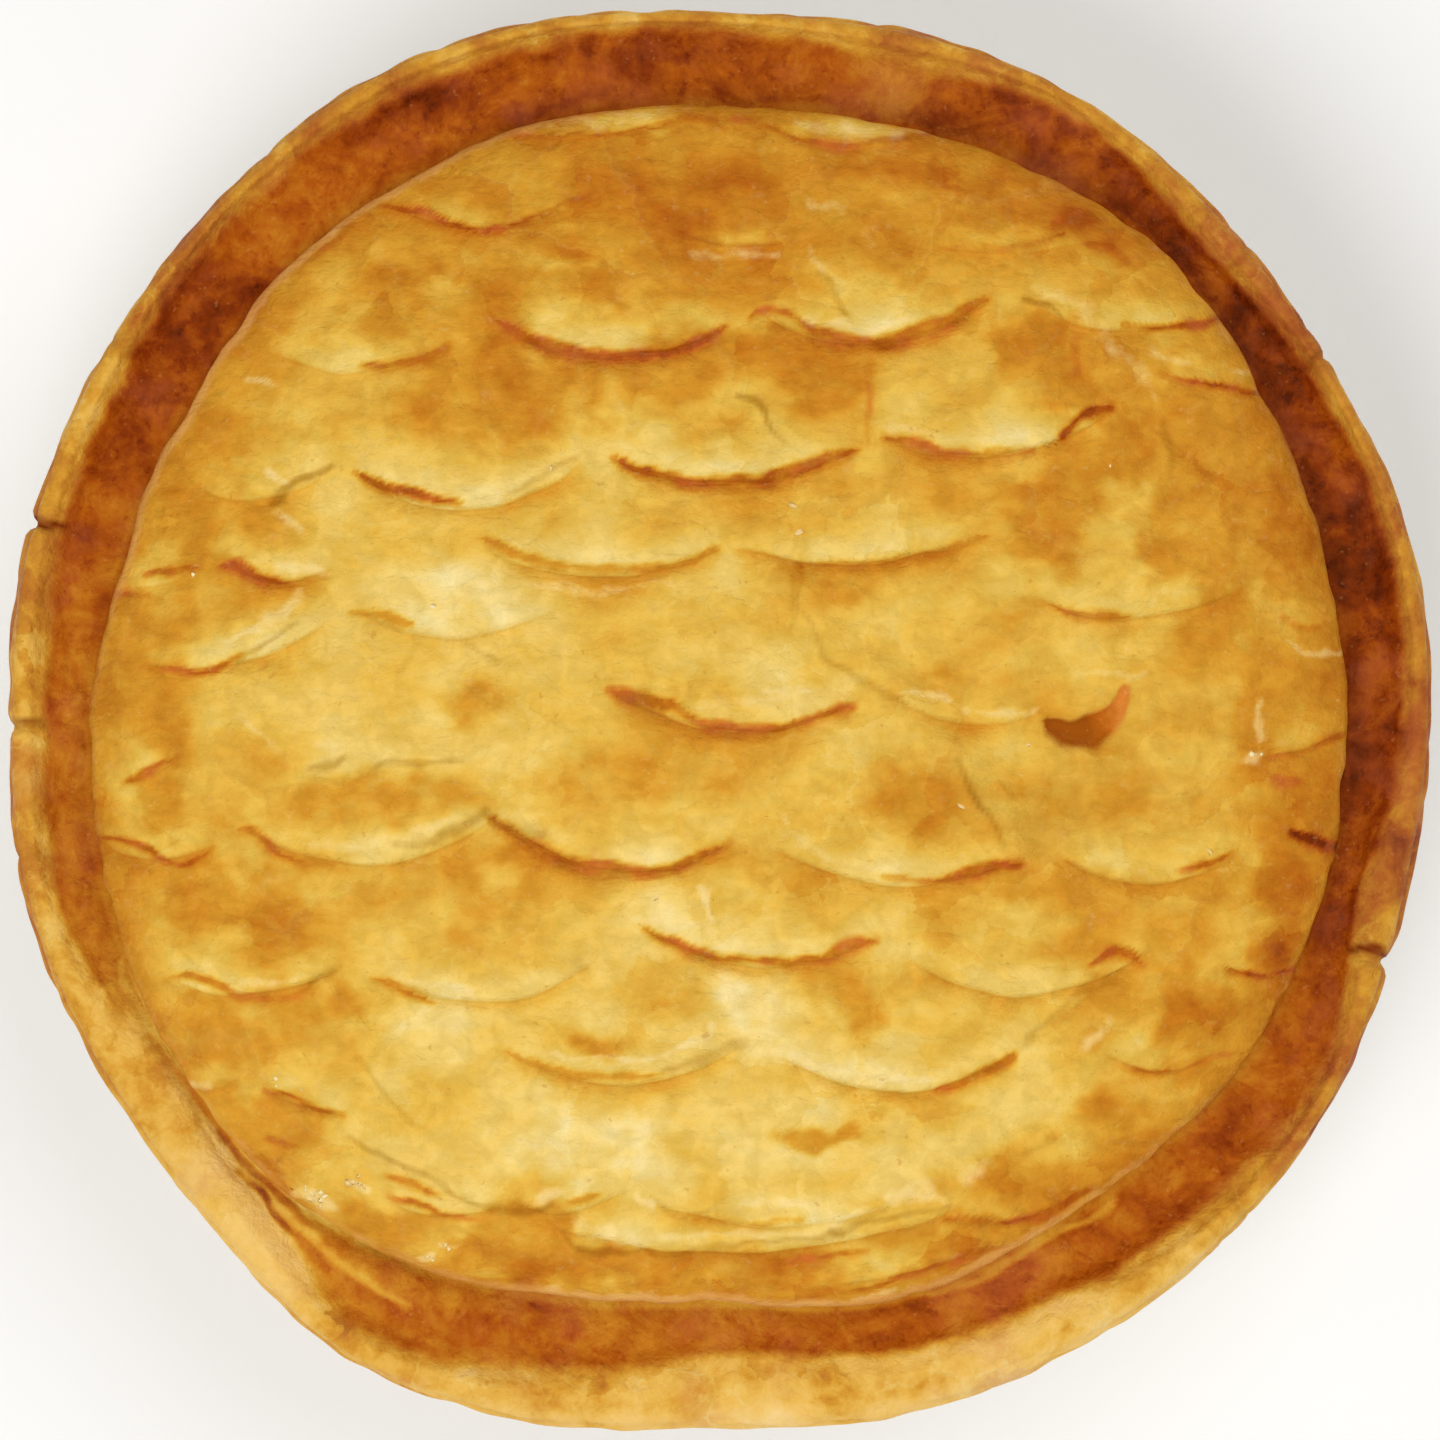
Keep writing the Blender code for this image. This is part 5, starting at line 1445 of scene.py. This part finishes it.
def make_body(material):
    """A tube spun round the pie, then shaped to its section at every angle."""
    even = np.arange(RIM_STEPS) / RIM_STEPS * FULL_TURN
    radii, heights, across, last = body_loops(even)
    form = spun([(1, level) for level in range(len(radii))], RIM_STEPS)
    bmesh.ops.holes_fill(form, edges=form.edges, sides=0)
    mesh = mesh_of("rim_pastry", form)

    tube = points_of(mesh)
    angle = np.mod(np.arctan2(tube[:, 1], tube[:, 0]), FULL_TURN)
    step = np.round(angle / FULL_TURN * RIM_STEPS).astype(int) % RIM_STEPS
    level = np.round(tube[:, 2]).astype(int)
    angle = even[step]
    radius = radii[level, step]
    height = heights[level, step]
    place = across[level]
    x = radius * np.cos(angle)
    y = radius * np.sin(angle)

    shown = ((place > 0) & (place <= last)).astype(float)
    upper = shown * window(place, *UPPER_BAND)
    outer = shown * window(place, *SIDE_BAND)
    relief = MM * ripples(x, y, RIM_BUMPS) + RIM_LAYER_HEIGHT * terraces(x, y, *RIM_LAYERS)
    height = height + upper * relief
    sheets = np.sin(height / SIDE_SHEET_THICKNESS + 5 * ripple(x, y, 9 * MM, 64))
    rough = SIDE_ROUGHNESS * (1 + ripple(x, y, 4 * MM, 65))
    radius = radius - outer * (SIDE_SHEET_DEPTH * (1 - sheets) + rough)
    x = radius * np.cos(angle)
    y = radius * np.sin(angle)
    set_points(mesh, x, y, height)
    face_outwards(mesh)

    tone, pool = rim_browning(angle, place, x, y)
    wandering = np.mod(angle + CRACK_WANDER * ripple(radius, angle * 90 * MM, 4 * MM, 66), FULL_TURN)
    crack = np.clip(crack_depth(wandering) / DARK_CRACK_DEPTH, 0, 1)
    paint(
        mesh,
        browning=tone + 0.10 * outer * (1 - sheets) / 2,
        glazed=pool * (place <= last),
        crack=crack * smooth_step(place, *CRACK_BAND) * shown,
    )
    place_piece("rim_pastry", mesh, material, "brown_pastry", "pie_body")


def make_dish(material):
    """The dish's section, spun round its middle."""
    under_rim = DISH_HEIGHT - DISH_RIM_THICKNESS
    corners = (
        (0, 0, 0),
        (DISH_FOOT_RADIUS, 0, FOOT_ROUNDING),
        (DISH_MOUTH_RADIUS + DISH_WALL_OFFSET, under_rim, MOUTH_ROUNDING),
        (DISH_RADIUS, under_rim, RIM_ROUNDING),
        (DISH_RADIUS, DISH_HEIGHT, RIM_ROUNDING),
        (DISH_MOUTH_RADIUS, DISH_HEIGHT, MOUTH_ROUNDING),
        (DISH_FLOOR_RADIUS, DISH_FLOOR, FLOOR_ROUNDING),
        (0, DISH_FLOOR, 0),
    )
    form = spun(rounded(corners, 6), DISH_STEPS)
    bmesh.ops.remove_doubles(form, verts=form.verts, dist=0.01 * MM)
    bmesh.ops.recalc_face_normals(form, faces=form.faces)
    mesh = mesh_of("glazed_dish", form)
    mesh.set_sharp_from_angle(angle=math.radians(50))
    points = points_of(mesh)
    radius = np.hypot(points[:, 0], points[:, 1])
    paint(mesh, unglazed=(points[:, 2] < 0.3 * MM) * smooth_step(radius, 55 * MM, 62 * MM))
    place_piece("glazed_dish", mesh, material, "dish_glaze", "dish")


def flake_places():
    """Where loose flakes and crumbs lie: in small drifts, and strewn over the lid."""
    rng = np.random.default_rng(71)
    places = []
    for middle_x, middle_y, spread, count in FLAKE_DRIFTS:
        for _ in range(count):
            places.append((rng.normal(middle_x, spread) * MM, rng.normal(middle_y, spread * 0.7) * MM))
    for _ in range(STRAY_FLAKES):
        angle = rng.uniform(0, FULL_TURN)
        radius = rng.uniform(0.3, 0.93) * float(around(LID_EDGE, np.array(angle)))
        places.append((radius * math.cos(angle), radius * math.sin(angle)))
    return places, rng


def make_flakes(material):
    """Thin ragged scraps of the top layer that have come loose and lie on the lid."""
    places, rng = flake_places()
    form = bmesh.new()
    for x, y in places:
        if float(edge_share(np.array(x), np.array(y))) > 0.98:
            continue
        ground = float(lid_top(np.array([x]), np.array([y]))[0])
        size = rng.uniform(*FLAKE_SIZES)
        turn = Matrix.Rotation(rng.uniform(0, FULL_TURN), 4, "Z")
        tilt = Matrix.Rotation(rng.uniform(-FLAKE_TILT, FLAKE_TILT), 4, "X")
        stretch = Matrix.Diagonal((1, rng.uniform(*FLAKE_STRETCHES), 1, 1))
        settle = Matrix.Translation((x, y, ground - FLAKE_SUNK))
        made = bmesh.ops.create_cone(
            form,
            cap_ends=True,
            segments=FLAKE_SIDES,
            radius1=size,
            radius2=size * FLAKE_TOP_SHARE,
            depth=FLAKE_THICKNESS,
            matrix=settle @ turn @ tilt @ stretch,
        )
        for vertex in made["verts"]:
            vertex.co += Vector(rng.normal(0, FLAKE_RAGGEDNESS, 3)) * size
            vertex.co.z = min(vertex.co.z, CAD_HIGH[2])
    bmesh.ops.recalc_face_normals(form, faces=form.faces)
    place_piece("loose_flakes", mesh_of("loose_flakes", form), material, "golden_pastry")


# ---------- Stage ----------


def make_floor():
    form = bmesh.new()
    bmesh.ops.create_grid(form, x_segments=8, y_segments=8, size=4)
    mesh = mesh_of("floor", form)
    material, tree, shader = new_material("pale_floor")
    cloud = noise_mask(tree, object_place(tree), 6.0, 0.3, 0.7, 2.0)
    colour = mix_colours(tree, cloud, srgb(246, 246, 245), srgb(250, 250, 249))
    fill_inputs(tree, shader, {"Base Color": colour, "Roughness": 0.9})
    mesh.materials.append(material)
    floor = bpy.data.objects.new("floor", mesh)
    bpy.context.scene.collection.objects.link(floor)
    floor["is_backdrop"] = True


def make_light(name, place, size, power):
    lamp = bpy.data.lights.new(name, "AREA")
    lamp.shape = "DISK"
    lamp.size = size
    lamp.energy = power
    light = bpy.data.objects.new(name, lamp)
    light.location = place
    light.rotation_mode = "QUATERNION"
    light.rotation_quaternion = (Vector((0, 0, 0.04)) - Vector(place)).to_track_quat("-Z", "Y")
    bpy.context.scene.collection.objects.link(light)


def make_stage():
    make_floor()
    world = bpy.data.worlds.new("studio")
    world.use_nodes = True
    background = world.node_tree.nodes["Background"]
    background.inputs["Color"].default_value = (1, 0.99, 0.97, 1)
    background.inputs["Strength"].default_value = 0.50
    bpy.context.scene.world = world
    bpy.context.scene.view_settings.view_transform = "Standard"
    make_light("key", (-0.5, -0.75, 1.35), 1.1, 12)
    make_light("fill", (0.6, 0.7, 1.35), 1.4, 8)


def make_camera():
    """Straight above the pie, so far off that the whole frame is as wide as the photograph's at the rim."""
    lens = 180
    sensor = 36
    frame_width = 201.6 * MM
    rim_level = 39 * MM
    camera_data = bpy.data.cameras.new("camera")
    camera_data.lens = lens
    camera_data.sensor_width = sensor
    camera = bpy.data.objects.new("camera", camera_data)
    camera.location = (0, 0.1 * MM, rim_level + frame_width * lens / sensor)
    bpy.context.scene.collection.objects.link(camera)
    bpy.context.scene.camera = camera


def main():
    baked = baked_colour_group()
    grain = pastry_grain_group()
    make_stage()
    make_camera()
    make_dish(dish_glaze_material())
    layers = flaky_layers_group()
    make_body(rim_pastry_material(baked, grain, layers))
    make_lid(lid_pastry_material(baked, grain, layers))
    make_flakes(loose_flake_material(baked, grain))


main()
